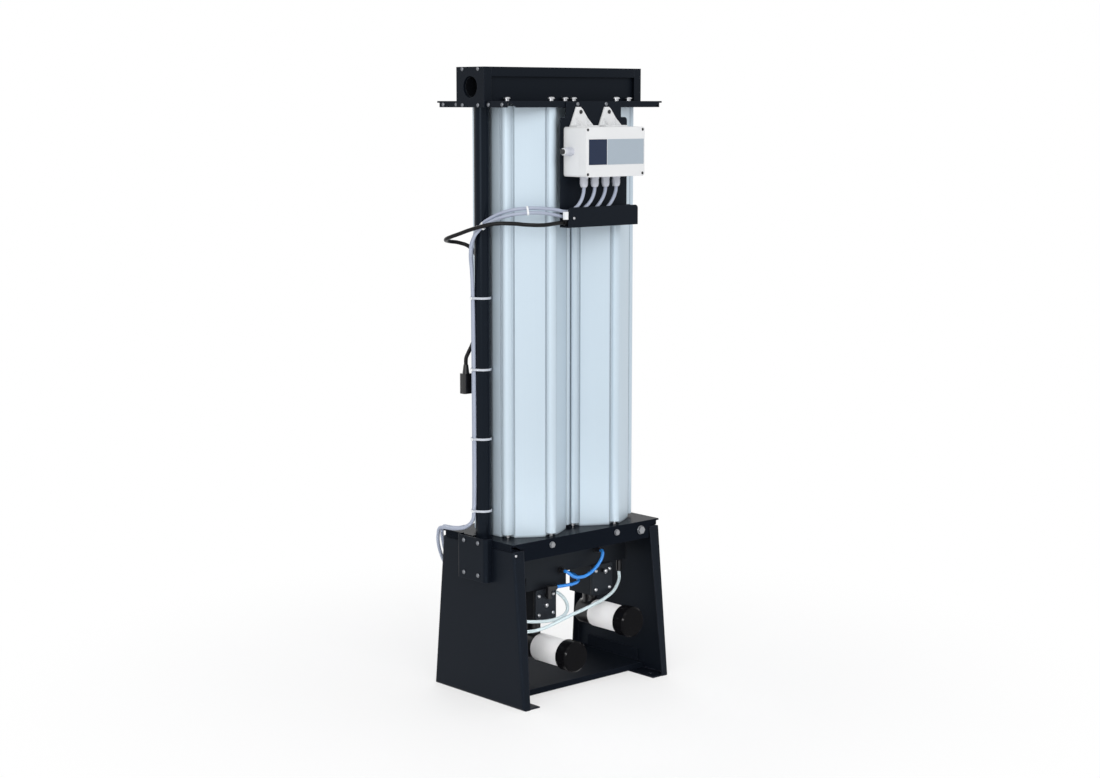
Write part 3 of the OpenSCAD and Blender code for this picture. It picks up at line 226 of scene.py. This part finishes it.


# low and high are the coat's own random tone; the paler edge colour is partly wear and partly a painted
# highlight
coatShades = {"low": rgb(0.0036, 0.0052, 0.0088), "high": rgb(0.0054, 0.0074, 0.0116),
              "wornAndLit": rgb(0.030, 0.035, 0.048)}
castShades = {"low": rgb(0.0050, 0.0058, 0.0078), "high": rgb(0.0085, 0.0096, 0.0120),
              "wornAndLit": rgb(0.035, 0.038, 0.045)}
coverShades = {"low": rgb(0.0100, 0.0115, 0.0145), "high": rgb(0.0150, 0.0168, 0.0205),
               "wornAndLit": rgb(0.045, 0.05, 0.058)}
steelLooks = {
    "blackPowderCoat": dict(shades=coatShades, rough=0.46, spread=0.10, edge=0.0016, specular=0.11),
    "mattePowderCoat": dict(shades=coatShades, rough=0.72, spread=0.10, edge=0.0016, specular=0.06),
    "foldedPowderCoat": dict(shades=coatShades, rough=0.46, spread=0.10, edge=0.0045, specular=0.11),
    "platePowderCoat": dict(shades=coatShades, rough=0.26, spread=0.05, edge=0.0016, specular=0.02),
    "glossyPowderCoat": dict(shades=coatShades, rough=0.20, spread=0.05, edge=0.0016, specular=0.14),
    "blackAnodised": dict(shades=castShades, rough=0.42, spread=0.10, edge=0.0009, specular=0.20),
    "coverAnodised": dict(shades=coverShades, rough=0.40, spread=0.10, edge=0.0009, specular=0.22),
}
# painted shade for the narrow gaps of the columns: how far the occlusion mask reaches, and its dark colour
columnGapShade = {"reach": 0.006, "shade": rgb(0.02, 0.025, 0.045)}
evenGrain = (300, 300, 300)
metalLooks = {
    "anodisedExtrusion": dict(low=rgb(0.52, 0.62, 0.70), high=rgb(0.57, 0.67, 0.75), rough=0.46, spread=0.10,
                              stretch=(900, 900, 2.2), strength=0.08, edge=0.0009, metallic=0.32,
                              paintedGapShade=columnGapShade),
    "zincPlate": dict(low=rgb(0.50, 0.51, 0.53), high=rgb(0.64, 0.65, 0.67), rough=0.30, spread=0.12,
                      stretch=evenGrain, strength=0.08, edge=0.0004),
    "dullZinc": dict(low=rgb(0.16, 0.17, 0.19), high=rgb(0.24, 0.25, 0.27), rough=0.42, spread=0.12,
                     stretch=evenGrain, strength=0.08, edge=0.0004),
    "agedZinc": dict(low=rgb(0.28, 0.29, 0.31), high=rgb(0.38, 0.39, 0.41), rough=0.34, spread=0.12,
                     stretch=evenGrain, strength=0.08, edge=0.0006),
    "turnedAluminium": dict(low=rgb(0.55, 0.56, 0.58), high=rgb(0.66, 0.67, 0.69), rough=0.34, spread=0.14,
                            stretch=(120, 120, 900), strength=0.10, edge=0.0005),
    "turnedBrass": dict(low=rgb(0.52, 0.36, 0.12), high=rgb(0.68, 0.50, 0.20), rough=0.28, spread=0.1,
                        stretch=(900, 200, 200), strength=0.08, edge=0.0003),
}
mouldedLooks = {
    "sealRubber": dict(low=rgb(0.008, 0.008, 0.008), high=rgb(0.014, 0.014, 0.014), rough=0.62, spread=0.1,
                       grainScale=900, strength=0.1, edge=0.0004),
    "dryingBeads": dict(low=rgb(0.80, 0.74, 0.60), high=rgb(0.92, 0.88, 0.78), rough=0.75, spread=0.2,
                        grainScale=260, strength=0.6, edge=0.0008),
    "housingPlastic": dict(low=rgb(0.70, 0.71, 0.72), high=rgb(0.76, 0.77, 0.78), rough=0.44, spread=0.10,
                           grainScale=1500, strength=0.10, edge=0.0012),
    "glandNylon": dict(low=rgb(0.50, 0.52, 0.58), high=rgb(0.58, 0.60, 0.66), rough=0.42, spread=0.08,
                       grainScale=900, strength=0.06, edge=0.0006),
    "tieNylon": dict(low=rgb(0.74, 0.76, 0.78), high=rgb(0.84, 0.86, 0.88), rough=0.40, spread=0.08,
                     grainScale=900, strength=0.05, edge=0.0003),
    "clearNylon": dict(low=rgb(0.46, 0.49, 0.55), high=rgb(0.56, 0.59, 0.65), rough=0.40, spread=0.08,
                       grainScale=900, strength=0.05, edge=0.0003),
    "boardResist": dict(low=rgb(0.02, 0.11, 0.05), high=rgb(0.04, 0.16, 0.08), rough=0.35, spread=0.1,
                        grainScale=700, strength=0.1, edge=0.0003),
    "cableSheath": dict(low=rgb(0.32, 0.36, 0.46), high=rgb(0.39, 0.43, 0.53), rough=0.40, spread=0.10,
                        grainScale=700, strength=0.06, edge=0.0002),
    "blackMoulding": dict(low=rgb(0.005, 0.005, 0.006), high=rgb(0.009, 0.009, 0.011), rough=0.30,
                          spread=0.08, grainScale=900, strength=0.05, edge=0.0008),
    "capMoulding": dict(low=rgb(0.003, 0.003, 0.0035), high=rgb(0.005, 0.005, 0.006), rough=0.16,
                        spread=0.05, grainScale=500, strength=0.03, edge=0.0018, specular=0.035),
    "leadSheath": dict(low=rgb(0.0035, 0.0035, 0.004), high=rgb(0.007, 0.007, 0.008), rough=0.34,
                       spread=0.08, grainScale=800, strength=0.06, edge=0.0002, specular=0.2),
    "porousElement": dict(low=rgb(0.76, 0.75, 0.75), high=rgb(0.83, 0.82, 0.82), rough=0.66, spread=0.15,
                          grainScale=1100, strength=0.30, edge=0.0004),
    "wireMesh": dict(low=rgb(0.72, 0.72, 0.73), high=rgb(0.82, 0.82, 0.83), rough=0.5, spread=0.1,
                     grainScale=900, strength=0.05, edge=0.0001),
    "blueTube": dict(low=rgb(0.022, 0.20, 0.66), high=rgb(0.035, 0.27, 0.76), rough=0.26, spread=0.06,
                     grainScale=500, strength=0.03, edge=0.0002, coat=0.2),
    "whiteTube": dict(low=rgb(0.56, 0.68, 0.72), high=rgb(0.66, 0.76, 0.79), rough=0.28, spread=0.06,
                      grainScale=500, strength=0.03, edge=0.0002, coat=0.2),
}
finishes = {"labelFilm": labelFilm()}
for make, looks in ((coatedSteel, steelLooks), (drawnMetal, metalLooks), (moulded, mouldedLooks)):
    for finishName, look in looks.items():
        finishes[finishName] = make(finishName, **look)
print("finishes:", len(finishes))

wears = {
    "blackPowderCoat": "top_plate header_body header_lid inlet_end_plate outlet_end_plate foot_cover "
                       "controller_bracket",
    "foldedPowderCoat": "left_side_panel right_side_panel",
    "platePowderCoat": "base_plate",
    "mattePowderCoat": "floor_pan",
    "glossyPowderCoat": "riser_tube",
    "anodisedExtrusion": "left_column right_column",
    "zincPlate": "frame_bolts lower_column_bolts upper_column_bolts valve_screws lower_screens "
                 "upper_screens check_balls",
    "dullZinc": "end_plate_screws cover_screws",
    "agedZinc": "apron_bolts",
    "turnedAluminium": "left_lower_plug right_lower_plug left_upper_plug right_upper_plug riser_foot",
    "blackAnodised": "air_manifold left_valve_body right_valve_body pilot_valve inlet_elbow outlet_manifold",
    "coverAnodised": "valve_covers",
    "sealRubber": "plug_rings valve_diaphragms",
    "dryingBeads": "left_bead_bed right_bead_bed",
    "turnedBrass": "purge_nozzle",
    "housingPlastic": "controller_box controller_lid fixing_lugs",
    "boardResist": "circuit_board",
    "labelFilm": "label_plate",
    "blackMoulding": "exhaust_elbows pilot_coils push_in_fittings controller_screws lead_boot power_plug",
    "capMoulding": "silencer_caps",
    "porousElement": "silencer_elements",
    "glandNylon": "cable_glands",
    "clearNylon": "cable_ties",
    "cableSheath": "control_cables",
    "leadSheath": "power_lead",
    "blueTube": "blue_tubes",
    "whiteTube": "white_tubes",
}
for finishName, names in wears.items():
    for name in names.split():
        for slot in cad[name].material_slots:
            slot.material = finishes[finishName]

detail = {"sharpAngle": 40, "cordRound": 5, "cordAlong": 10}  # degrees, and steps of the curves


def meshPiece(name, verts, faces, finish):  # smooth faces, with sharp edges kept
    mesh = bpy.data.meshes.new(name)
    mesh.from_pydata(verts, [], faces)
    mesh.validate()
    mesh.materials.append(finishes[finish])
    for p in mesh.polygons:
        p.use_smooth = True
    mesh.set_sharp_from_angle(angle=math.radians(detail["sharpAngle"]))
    piece = bpy.data.objects.new(name, mesh)
    scene.collection.objects.link(piece)
    return piece


def cordPiece(name, routes, diameter, finish):  # one smooth round spline for each route, in millimetres
    curve = bpy.data.curves.new(name, "CURVE")
    curve.dimensions = "3D"
    curve.bevel_depth = diameter / 2 * mm
    curve.bevel_resolution = detail["cordRound"]
    curve.resolution_u = detail["cordAlong"]
    curve.use_fill_caps = True
    for route in routes:
        spline = curve.splines.new("BEZIER")
        spline.bezier_points.add(len(route) - 1)
        for knot, place in zip(spline.bezier_points, route):
            knot.co = Vector(place) * mm
            knot.handle_left_type = "AUTO"
            knot.handle_right_type = "AUTO"
    curve.materials.append(finishes[finish])
    piece = bpy.data.objects.new(name, curve)
    scene.collection.objects.link(piece)
    return piece


# the mains lead, from the boot in the trough round to its plug behind the riser
lead = {
    "diameter": 9.0,
    "route": [
        (-89, -138, 1094.5), (-94, -138, 1094.5), (-112, -137.5, 1093.5), (-144, -134, 1091),
        (-178, -122, 1092), (-208, -98, 1095), (-234, -68, 1094), (-251, -40, 1087), (-263, -16, 1079),
        (-274, 6, 1070), (-282, 28, 1062), (-276, 50, 1055), (-254, 64, 1050), (-230, 59, 1046),
        (-212, 45, 1037), (-201, 36, 1020), (-197, 33, 998), (-196.5, 32.5, 960), (-197, 32.7, 880),
        (-201, 33.4, 850), (-211, 36, 818), (-222, 38.8, 796), (-227.2, 39.9, 785), (-228, 40, 776),
        (-228, 40, 770)],
}


def routeLength(route):  # length of the smooth curve through the points, in metres
    probe = cordPiece("probe", [route], 1.0, "leadSheath")
    probe.data.bevel_depth = 0
    shape = probe.evaluated_get(bpy.context.evaluated_depsgraph_get()).to_mesh()
    places = [v.co for v in shape.vertices]
    total = sum((places[e.vertices[0]] - places[e.vertices[1]]).length for e in shape.edges)
    bpy.data.objects.remove(probe)
    return total


leadPiece = cordPiece("mainsLead", [lead["route"]], lead["diameter"], "leadSheath")
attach(leadPiece, "root")
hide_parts("power_lead")
round(routeLength(lead["route"]), 3)
print("mains lead laid")

# grey control cables from the glands: two go down the riser to the pilot valve, two end in the trough
control = {
    "diameter": 8.0,
    "first": [
        (-43, -153.5, 1176), (-43, -153.5, 1170), (-44, -152, 1156), (-49, -147, 1138), (-58, -142, 1126),
        (-72, -138, 1119.5), (-88, -137, 1119), (-106, -134, 1123), (-140, -126, 1127), (-175, -112, 1128),
        (-205, -77, 1121), (-224, -46, 1106), (-235, -20, 1086), (-238, -2, 1060), (-236, 8, 1028),
        (-231, 13, 992), (-228, 15.4, 942), (-227.7, 15.5, 930), (-227.7, 15.5, 430), (-228, 19, 413),
        (-230, 35, 398), (-230, 60, 390), (-228, 90, 385), (-226, 112, 383.4), (-224, 130, 380.4),
        (-221, 140, 366), (-216, 143, 345), (-205, 147, 315), (-191, 146, 287), (-183, 134, 262),
        (-184, 116, 244), (-192, 104, 226), (-203, 97, 208), (-209, 91, 197), (-210.2, 86, 194),
        (-210.2, 81.3, 194)],
    "second": [
        (-10, -153.5, 1176), (-10, -153.5, 1170), (-12, -152, 1156), (-19, -148, 1139), (-32, -143, 1125),
        (-50, -138, 1114), (-70, -134, 1109), (-88, -133, 1108), (-110, -131, 1112), (-142, -127, 1117),
        (-177, -117, 1118), (-209, -82, 1111), (-230, -50, 1097), (-242, -22, 1076), (-246, -6, 1052),
        (-244, 2, 1022), (-238, 6, 988), (-233.5, 7.6, 944), (-232.6, 7.8, 930), (-232.6, 7.8, 430),
        (-235, 13, 411), (-239, 31, 396), (-239.5, 62, 388), (-237.5, 92, 384), (-236, 114, 382.4),
        (-234, 133, 377), (-231, 142, 360), (-226, 148, 340), (-214, 152, 308), (-199, 152, 279),
        (-191, 140, 252), (-191, 120, 232), (-197, 107, 206), (-205, 97, 187), (-209.4, 91, 177),
        (-210.2, 86, 175), (-210.2, 81.3, 175)],
    "third": [
        (23, -153.5, 1176), (23, -153.5, 1170), (22, -151, 1156), (15, -146, 1138), (2, -140, 1120),
        (-16, -139, 1106), (-36, -139, 1099), (-42, -139, 1098)],
    "fourth": [
        (56, -153.5, 1176), (56, -153.5, 1170), (55, -152, 1158), (49, -147, 1139), (36, -141, 1121),
        (16, -136, 1107), (-6, -133, 1099), (-12, -133, 1098)],
}
cables = cordPiece("controlCables", [control[k] for k in ("first", "second", "third", "fourth")],
                   control["diameter"], "cableSheath")
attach(cables, "root")
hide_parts("control_cables")

# air tubes of the valve bay
air = {
    "diameter": 8.0,
    "blueLow": [
        (-57.7, -77, 246), (-50, -77, 246), (-30, -77, 245.4), (-4, -77, 245.4), (14, -73, 247),
        (25, -62, 251), (29, -44, 256), (27, -20, 259), (20, 10, 260), (4, 34, 258), (-22, 48, 251),
        (-60, 53, 240), (-105, 50, 226), (-146, 38, 209), (-164, 31.4, 202.4), (-174, 30, 201),
        (-179, 30, 201), (-188.2, 30, 201)],
    "blueLoop": [
        (-29, -68.2, 279), (-29, -77, 279), (-29, -81, 279), (-24, -87, 274), (-10, -88, 265),
        (10, -88, 261), (30, -88, 263), (50, -88, 271), (68, -88, 285), (80, -87, 301), (85, -81, 312),
        (85, -77, 312), (85, -68.2, 312)],
    "whiteLong": [
        (170, -50, 256), (170, -50, 244), (169.6, -50.6, 240), (165, -56, 230), (150, -66, 219),
        (126, -77, 207), (94, -85, 198), (56, -91, 191), (16, -95, 185), (-26, -98, 179), (-70, -100, 171),
        (-114, -100, 163), (-150, -95, 160), (-180, -86, 163), (-200, -77, 169), (-209.6, -70, 173.4),
        (-210.25, -66, 174), (-210.25, -56, 174)],
    "whiteShort": [
        (-38, -38, 222), (-27, -38, 222), (-23, -38.4, 221.6), (-14, -46, 214), (-10, -58, 202),
        (-16, -71, 189), (-34, -82, 179), (-62, -88, 174), (-96, -89, 174), (-130, -88, 178),
        (-160, -85, 183), (-186, -80, 188), (-204, -74, 191.4), (-210, -70, 192), (-210.25, -66, 192),
        (-210.25, -56, 192)],
}
for pieceName, routes, finish, node, slotName in (
        ("blueTubes", ("blueLow", "blueLoop"), "blueTube", "blue_tubes", "blue_tube"),
        ("whiteTubes", ("whiteLong", "whiteShort"), "whiteTube", "white_tubes", "white_tube")):
    tubes = cordPiece(pieceName, [air[k] for k in routes], air["diameter"], finish)
    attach(tubes, "root")
    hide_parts(node)
print("cables and tubes laid")

upright = Matrix.Identity(4)
sideWays = Matrix.Rotation(math.pi / 2, 4, "Y")
frontWays = Matrix.Rotation(math.pi / 2, 4, "X")
backWays = Matrix.Rotation(-math.pi / 2, 4, "X")


def seat(place, turn):  # puts a shape made along Z at a place in millimetres, turned
    return Matrix.Translation(Vector(place) * mm) @ turn


def openTree(name, lengths, counts):  # a geometry tree with named inputs: its graph, identifiers and wires
    tree = bpy.data.node_groups.new(name, "GeometryNodeTree")
    kinds = {n: "NodeSocketFloat" for n in lengths}
    kinds.update({n: "NodeSocketInt" for n in counts})
    ids = {}
    for n, kind in kinds.items():
        ids[n] = tree.interface.new_socket(name=n, in_out="INPUT", socket_type=kind).identifier
    tree.interface.new_socket(name="Geometry", in_out="OUTPUT", socket_type="NodeSocketGeometry")
    g = Graph(tree)
    given = g.node("NodeGroupInput")
    return g, ids, [given.other(n) for n in kinds]


def closeTree(g, shape, finish):  # real meshes with their finish, out of the tree
    solid = g.node("GeometryNodeRealizeInstances", None, {"Geometry": shape})
    done = g.node("GeometryNodeSetMaterial", None, {"Geometry": solid, "Material": finishes[finish]})
    end = g.tree.nodes.new("NodeGroupOutput")
    g.tree.links.new(done.socket, end.inputs[0])
    return g.tree


def fromTree(name, tree, ids, values):  # evaluates a tree once and keeps a plain mesh
    holder = bpy.data.objects.new(name, bpy.data.meshes.new(name))
    scene.collection.objects.link(holder)
    modifier = holder.modifiers.new("make", "NODES")
    modifier.node_group = tree
    for key, value in values.items():
        modifier[ids[key]] = value
    evaluated = holder.evaluated_get(bpy.context.evaluated_depsgraph_get())
    plain = bpy.data.meshes.new_from_object(evaluated)
    holder.modifiers.remove(modifier)
    holder.data = plain
    return holder


# wire mesh round the silencer elements: hoops and long wires from one tree
silencer = {"axes": {"left": (-79.75, 102.0), "right": (100.25, 153.0)}, "front": -139.0, "length": 92.0,
            "inset": 0.5, "radius": 31.5, "wire": 0.26, "wireSides": 6, "hoops": 50, "hoopSides": 64,
            "longWires": 64}


def wireSleeveTree():
    g, ids, (radius, length, wire, hoops, longWires) = openTree(
        "wireSleeve", ["Radius", "Length", "Wire"], ["Hoops", "Long Wires"])
    section = g.node("GeometryNodeCurvePrimitiveCircle", None,
                     {"Resolution": silencer["wireSides"], "Radius": wire})
    hoop = g.node("GeometryNodeCurvePrimitiveCircle", None,
                  {"Resolution": silencer["hoopSides"], "Radius": radius})
    hoopMesh = g.node("GeometryNodeCurveToMesh", None, {"Curve": hoop, "Profile Curve": section})
    step = g.node("ShaderNodeCombineXYZ", None, {"Z": length / (hoops - 1)})
    places = g.node("GeometryNodeMeshLine", None, {"Count": hoops, "Offset": step})
    rings = g.node("GeometryNodeInstanceOnPoints", None, {"Points": places, "Instance": hoopMesh})
    top = g.node("ShaderNodeCombineXYZ", None, {"Z": length})
    run = g.node("GeometryNodeCurvePrimitiveLine", None, {"End": top})
    runMesh = g.node("GeometryNodeCurveToMesh", None, {"Curve": run, "Profile Curve": section})
    around = g.node("GeometryNodeMeshCircle", None, {"Vertices": longWires, "Radius": radius})
    runs = g.node("GeometryNodeInstanceOnPoints", None, {"Points": around, "Instance": runMesh})
    both = g.node("GeometryNodeJoinGeometry")
    for part in (rings, runs):
        g.tree.links.new(part.socket, both.socket.node.inputs[0])
    return closeTree(g, both, "wireMesh"), ids


sleeveTree, sleeveIds = wireSleeveTree()
for side, (axisX, axisZ) in silencer["axes"].items():
    sleeve = fromTree(side + "SilencerMesh", sleeveTree, sleeveIds, {
        "Radius": silencer["radius"] * mm, "Length": (silencer["length"] - 2 * silencer["inset"]) * mm,
        "Wire": silencer["wire"] * mm, "Hoops": silencer["hoops"], "Long Wires": silencer["longWires"]})
    sleeve.data.transform(seat((axisX, silencer["front"] + silencer["inset"], axisZ), backWays))
    for p in sleeve.data.polygons:
        p.use_smooth = True
    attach(sleeve, "root")
print("silencer mesh wrapped")

# ribs round the gland nuts
ribs = {"radius": 8.6, "width": 1.5, "depth": 1.1, "length": 9.0, "count": 14, "drop": 12.5,
        "seats": [(x, -153.5, 1196.0) for x in (-43.0, -10.0, 23.0, 56.0)],
        "sideSeat": (-80.0, -153.5, 1252.0)}


def ribRingTree():
    g, ids, (radius, width, depth, length, count) = openTree(
        "ribRing", ["Radius", "Rib Width", "Rib Depth", "Rib Length"], ["Count"])
    size = g.node("ShaderNodeCombineXYZ", None, {"X": depth, "Y": width, "Z": length})
    rib = g.node("GeometryNodeMeshCube", None, {"Size": size})
    around = g.node("GeometryNodeMeshCircle", None, {"Vertices": count, "Radius": radius})
    turn = g.node("GeometryNodeInputIndex") * (2 * math.pi / count)
    spin = g.node("ShaderNodeCombineXYZ", None, {"Z": turn})
    ring = g.node("GeometryNodeInstanceOnPoints", None, {"Points": around, "Instance": rib, "Rotation": spin})
    return closeTree(g, ring, "glandNylon"), ids


ribTree, ribIds = ribRingTree()
sideX, sideY, sideZ = ribs["sideSeat"]
ribPlaces = [seat((x, y, z - ribs["drop"]), upright) for x, y, z in ribs["seats"]]
ribPlaces.append(seat((sideX - ribs["drop"], sideY, sideZ), sideWays))
for number, place in enumerate(ribPlaces, 1):
    ring = fromTree("glandRibs%d" % number, ribTree, ribIds, {
        "Radius": ribs["radius"] * mm, "Rib Width": ribs["width"] * mm, "Rib Depth": ribs["depth"] * mm,
        "Rib Length": ribs["length"] * mm, "Count": ribs["count"]})
    ring.data.transform(place)
    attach(ring, "root")
print("glands ribbed")


def lathe(profile, place, sides=32):  # a turned shape about Z from (radius, height) pairs, in millimetres
    angles = [2 * math.pi * k / sides for k in range(sides)]
    verts = [place @ (Vector((r * math.cos(q), r * math.sin(q), z)) * mm) for r, z in profile for q in angles]
    faces = []
    for i in range(len(profile) - 1):
        low, high = i * sides, (i + 1) * sides
        faces += [(low + k, low + (k + 1) % sides, high + (k + 1) % sides, high + k) for k in range(sides)]
    last = (len(profile) - 1) * sides
    return verts, faces + [tuple(reversed(range(sides))), tuple(range(last, last + sides))]


def brick(lo, hi):  # a box from its low corner to its high corner, in millimetres
    verts = [Vector((x, y, z)) * mm for z in (lo[2], hi[2]) for y in (lo[1], hi[1]) for x in (lo[0], hi[0])]
    return verts, [(0, 2, 3, 1), (4, 5, 7, 6), (0, 1, 5, 4), (2, 6, 7, 3), (0, 4, 6, 2), (1, 3, 7, 5)]


def band(a, b, along, radius, width, thick, steps=10):  # a flat strap round two cables side by side
    a, b, t = Vector(a), Vector(b), Vector(along).normalized()
    u = b - a
    u = (u - t * u.dot(t)).normalized()
    w = t.cross(u)
    turns = [math.pi / 2 + math.pi * k / steps for k in range(steps + 1)]
    loop = [(a, q) for q in turns] + [(b, q + math.pi) for q in turns]
    corners = ((radius, -1), (radius + thick, -1), (radius + thick, 1), (radius, 1))
    verts = [(c + (u * math.cos(q) + w * math.sin(q)) * r + t * s * width / 2) * mm
             for r, s in corners for c, q in loop]
    n = len(loop)
    faces = []
    for i in range(len(corners)):
        low, high = i * n, (i + 1) % len(corners) * n
        faces += [(low + k, low + (k + 1) % n, high + (k + 1) % n, high + k) for k in range(n)]
    return verts, faces


def joined(name, shapes, finish):
    verts, faces = [], []
    for v, f in shapes:
        faces += [tuple(i + len(verts) for i in face) for face in f]
        verts += v
    piece = meshPiece(name, verts, faces, finish)
    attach(piece, "root")
    return piece


# blanking plug of the side gland, with a washer
plug = {"shape": [(5.2, 0), (6, 0.8), (6, 6)], "reach": 31.6, "ring": [(8, 0), (8, 1.6)], "ringReach": 25.6}
plugPlace = seat((sideX - plug["reach"], sideY, sideZ), sideWays)
ringPlace = seat((sideX - plug["ringReach"], sideY, sideZ), sideWays)
joined("glandPlug", [lathe(plug["shape"], plugPlace)], "blackMoulding")
joined("glandRing", [lathe(plug["ring"], ringPlace)], "tieNylon")

# straps round the two control cables, the block at the trough and the heads of the ties on the riser
ties = {
    "width": 4.5, "thick": 1.2, "radius": 4.35,
    "straps": [{"a": (-175, -112, 1128), "b": (-177, -117, 1118), "along": (-0.8, 0.6, -0.07)},
               {"a": (-231.7, -27.8, 1092), "b": (-237.2, -33.2, 1084.4), "along": (-0.32, 0.75, -0.58)}],
    "block": {"lo": (-97, -151, 1101.5), "hi": (-87.2, -143.5, 1119)},
    "headX": (-241.4, -238.2), "headY": (4, 9), "headHalf": 3, "headHeights": [437.0, 603.0, 762.0, 924.0],
}
straps = [band(radius=ties["radius"], width=ties["width"], thick=ties["thick"], **s) for s in ties["straps"]]
blocks = [brick(**ties["block"])]
(headLeft, headRight), (headFront, headBack) = ties["headX"], ties["headY"]
for z in ties["headHeights"]:
    headLow, headHigh = z - ties["headHalf"], z + ties["headHalf"]
    blocks.append(brick((headLeft, headFront, headLow), (headRight, headBack, headHigh)))
joined("tieStraps", straps, "tieNylon")
joined("tieBlocks", blocks, "tieNylon")

# two small domed screws, on the left panel and the trough, and a vent plug on each valve cover
trim = {"dome": [(3.2, 0), (2.8, 1.2), (1.6, 2.0), (0.5, 2.2)], "sides": 20,
        "places": [(-223, -126.9, 352), (-71, -152, 1104)]}
vent = {"shape": [(5.6, 0), (5.6, 2), (5, 4), (3, 5.6), (1, 6)], "sides": 24,
        "places": [(-79.75, -67, 205), (100.25, -76, 260)]}
domes = [lathe(trim["dome"], seat(p, frontWays), trim["sides"]) for p in trim["places"]]
vents = [lathe(vent["shape"], seat(p, frontWays), vent["sides"]) for p in vent["places"]]
joined("trimScrews", domes, "zincPlate")
joined("ventPlugs", vents, "zincPlate")
print("small pieces added")

# camera at the photograph's view
view = {"aim": (-7.45, 0.0, 697.4), "azimuth": -41.77, "elevation": 8.01, "distance": 4771.0,
        "focalPixels": 2044.0, "widthPixels": 1100.0, "sensor": 36.0, "farthest": 60.0}
aim = Vector(view["aim"]) * mm
turn, lift = math.radians(view["azimuth"]), math.radians(view["elevation"])
away = Vector((math.sin(turn) * math.cos(lift), -math.cos(turn) * math.cos(lift), math.sin(lift)))
camera = bpy.data.objects.new("camera", bpy.data.cameras.new("camera"))
scene.collection.objects.link(camera)
camera.location = aim + away * view["distance"] * mm
camera.rotation_euler = (-away).to_track_quat("-Z", "Y").to_euler()
camera.data.sensor_fit = "HORIZONTAL"
camera.data.sensor_width = view["sensor"]
camera.data.lens = view["focalPixels"] / view["widthPixels"] * view["sensor"]
camera.data.clip_end = view["farthest"]
scene.camera = camera

# white surroundings, a pale floor that fades to white, and four lamps
studio = {"floorSize": 30.0, "floor": rgb(0.88, 0.88, 0.885), "floorRough": 0.9, "floorSpecular": 0.1,
          "white": rgb(1, 1, 1), "glow": 0.55, "fadeFrom": 0.45, "fadeTo": 1.4, "diffuseSky": 0.78}
lamps = {
    "keyLamp": dict(place=(-1.2, -4.2, 3.4), target=(0, 0, 0.8), size=(2.4, 2.4), watts=52),
    "bayLamp": dict(place=(-1.05, -1.3, 0.55), target=(0.02, -0.12, 0.1), size=(0.3, 0.2), watts=0.4,
                    spread=34),
    "sideLamp": dict(place=(-3.8, -2.0, 2.0), target=(0, 0, 0.8), size=(1.8, 2.6), watts=43),
    "backLamp": dict(place=(2.2, 3.2, 3.0), target=(0, 0, 0.9), size=(2.4, 2.0), watts=46),
}


def studioWorld():  # white where it is seen, dimmer where it only lights
    world = bpy.data.worlds.new("studioWorld")
    scene.world = world
    world.use_nodes = True
    strength = Graph(world.node_tree).seen() * (1 - studio["diffuseSky"]) + studio["diffuseSky"]
    sky = world.node_tree.nodes["Background"]
    sky.inputs["Color"].default_value = studio["white"]
    world.node_tree.links.new(strength.socket, sky.inputs["Strength"])


def studioFloor():
    half = studio["floorSize"] / 2
    mesh = bpy.data.meshes.new("studioFloor")
    corners = [(-half, -half, 0), (half, -half, 0), (half, half, 0), (-half, half, 0)]
    mesh.from_pydata(corners, [], [(0, 1, 2, 3)])
    floor = bpy.data.objects.new("studioFloor", mesh)
    scene.collection.objects.link(floor)
    f = Finish("paleFloor", Base_Color=studio["floor"], Roughness=studio["floorRough"],
               Specular_IOR_Level=studio["floorSpecular"])
    reach = f.node("ShaderNodeVectorMath", {"operation": "LENGTH"}, {0: f.place}, "Value")
    fade = f.node("ShaderNodeMapRange", {"interpolation_type": "SMOOTHSTEP"},
                  {"Value": reach, "From Min": studio["fadeFrom"], "From Max": studio["fadeTo"],
                   "To Min": studio["glow"]})
    white = f.node("ShaderNodeEmission", None, {"Color": studio["white"], "Strength": 1.0})
    mixed = f.node("ShaderNodeMixShader", None, {0: fade * f.seen(), 2: white})
    f.tree.links.new(f.shader.outputs[0], mixed.socket.node.inputs[1])
    f.tree.links.new(mixed.socket, f.tree.nodes["Material Output"].inputs["Surface"])
    mesh.materials.append(f.material)


def lamp(name, place, target, size, watts, spread=180):
    light = bpy.data.lights.new(name, "AREA")
    light.shape = "RECTANGLE"
    light.size, light.size_y = size
    light.energy = watts
    light.spread = math.radians(spread)
    holder = bpy.data.objects.new(name, light)
    scene.collection.objects.link(holder)
    holder.location = place
    holder.rotation_euler = (Vector(target) - Vector(place)).to_track_quat("-Z", "Y").to_euler()


studioWorld()
studioFloor()
for name, values in lamps.items():
    lamp(name, **values)
print("studio set")
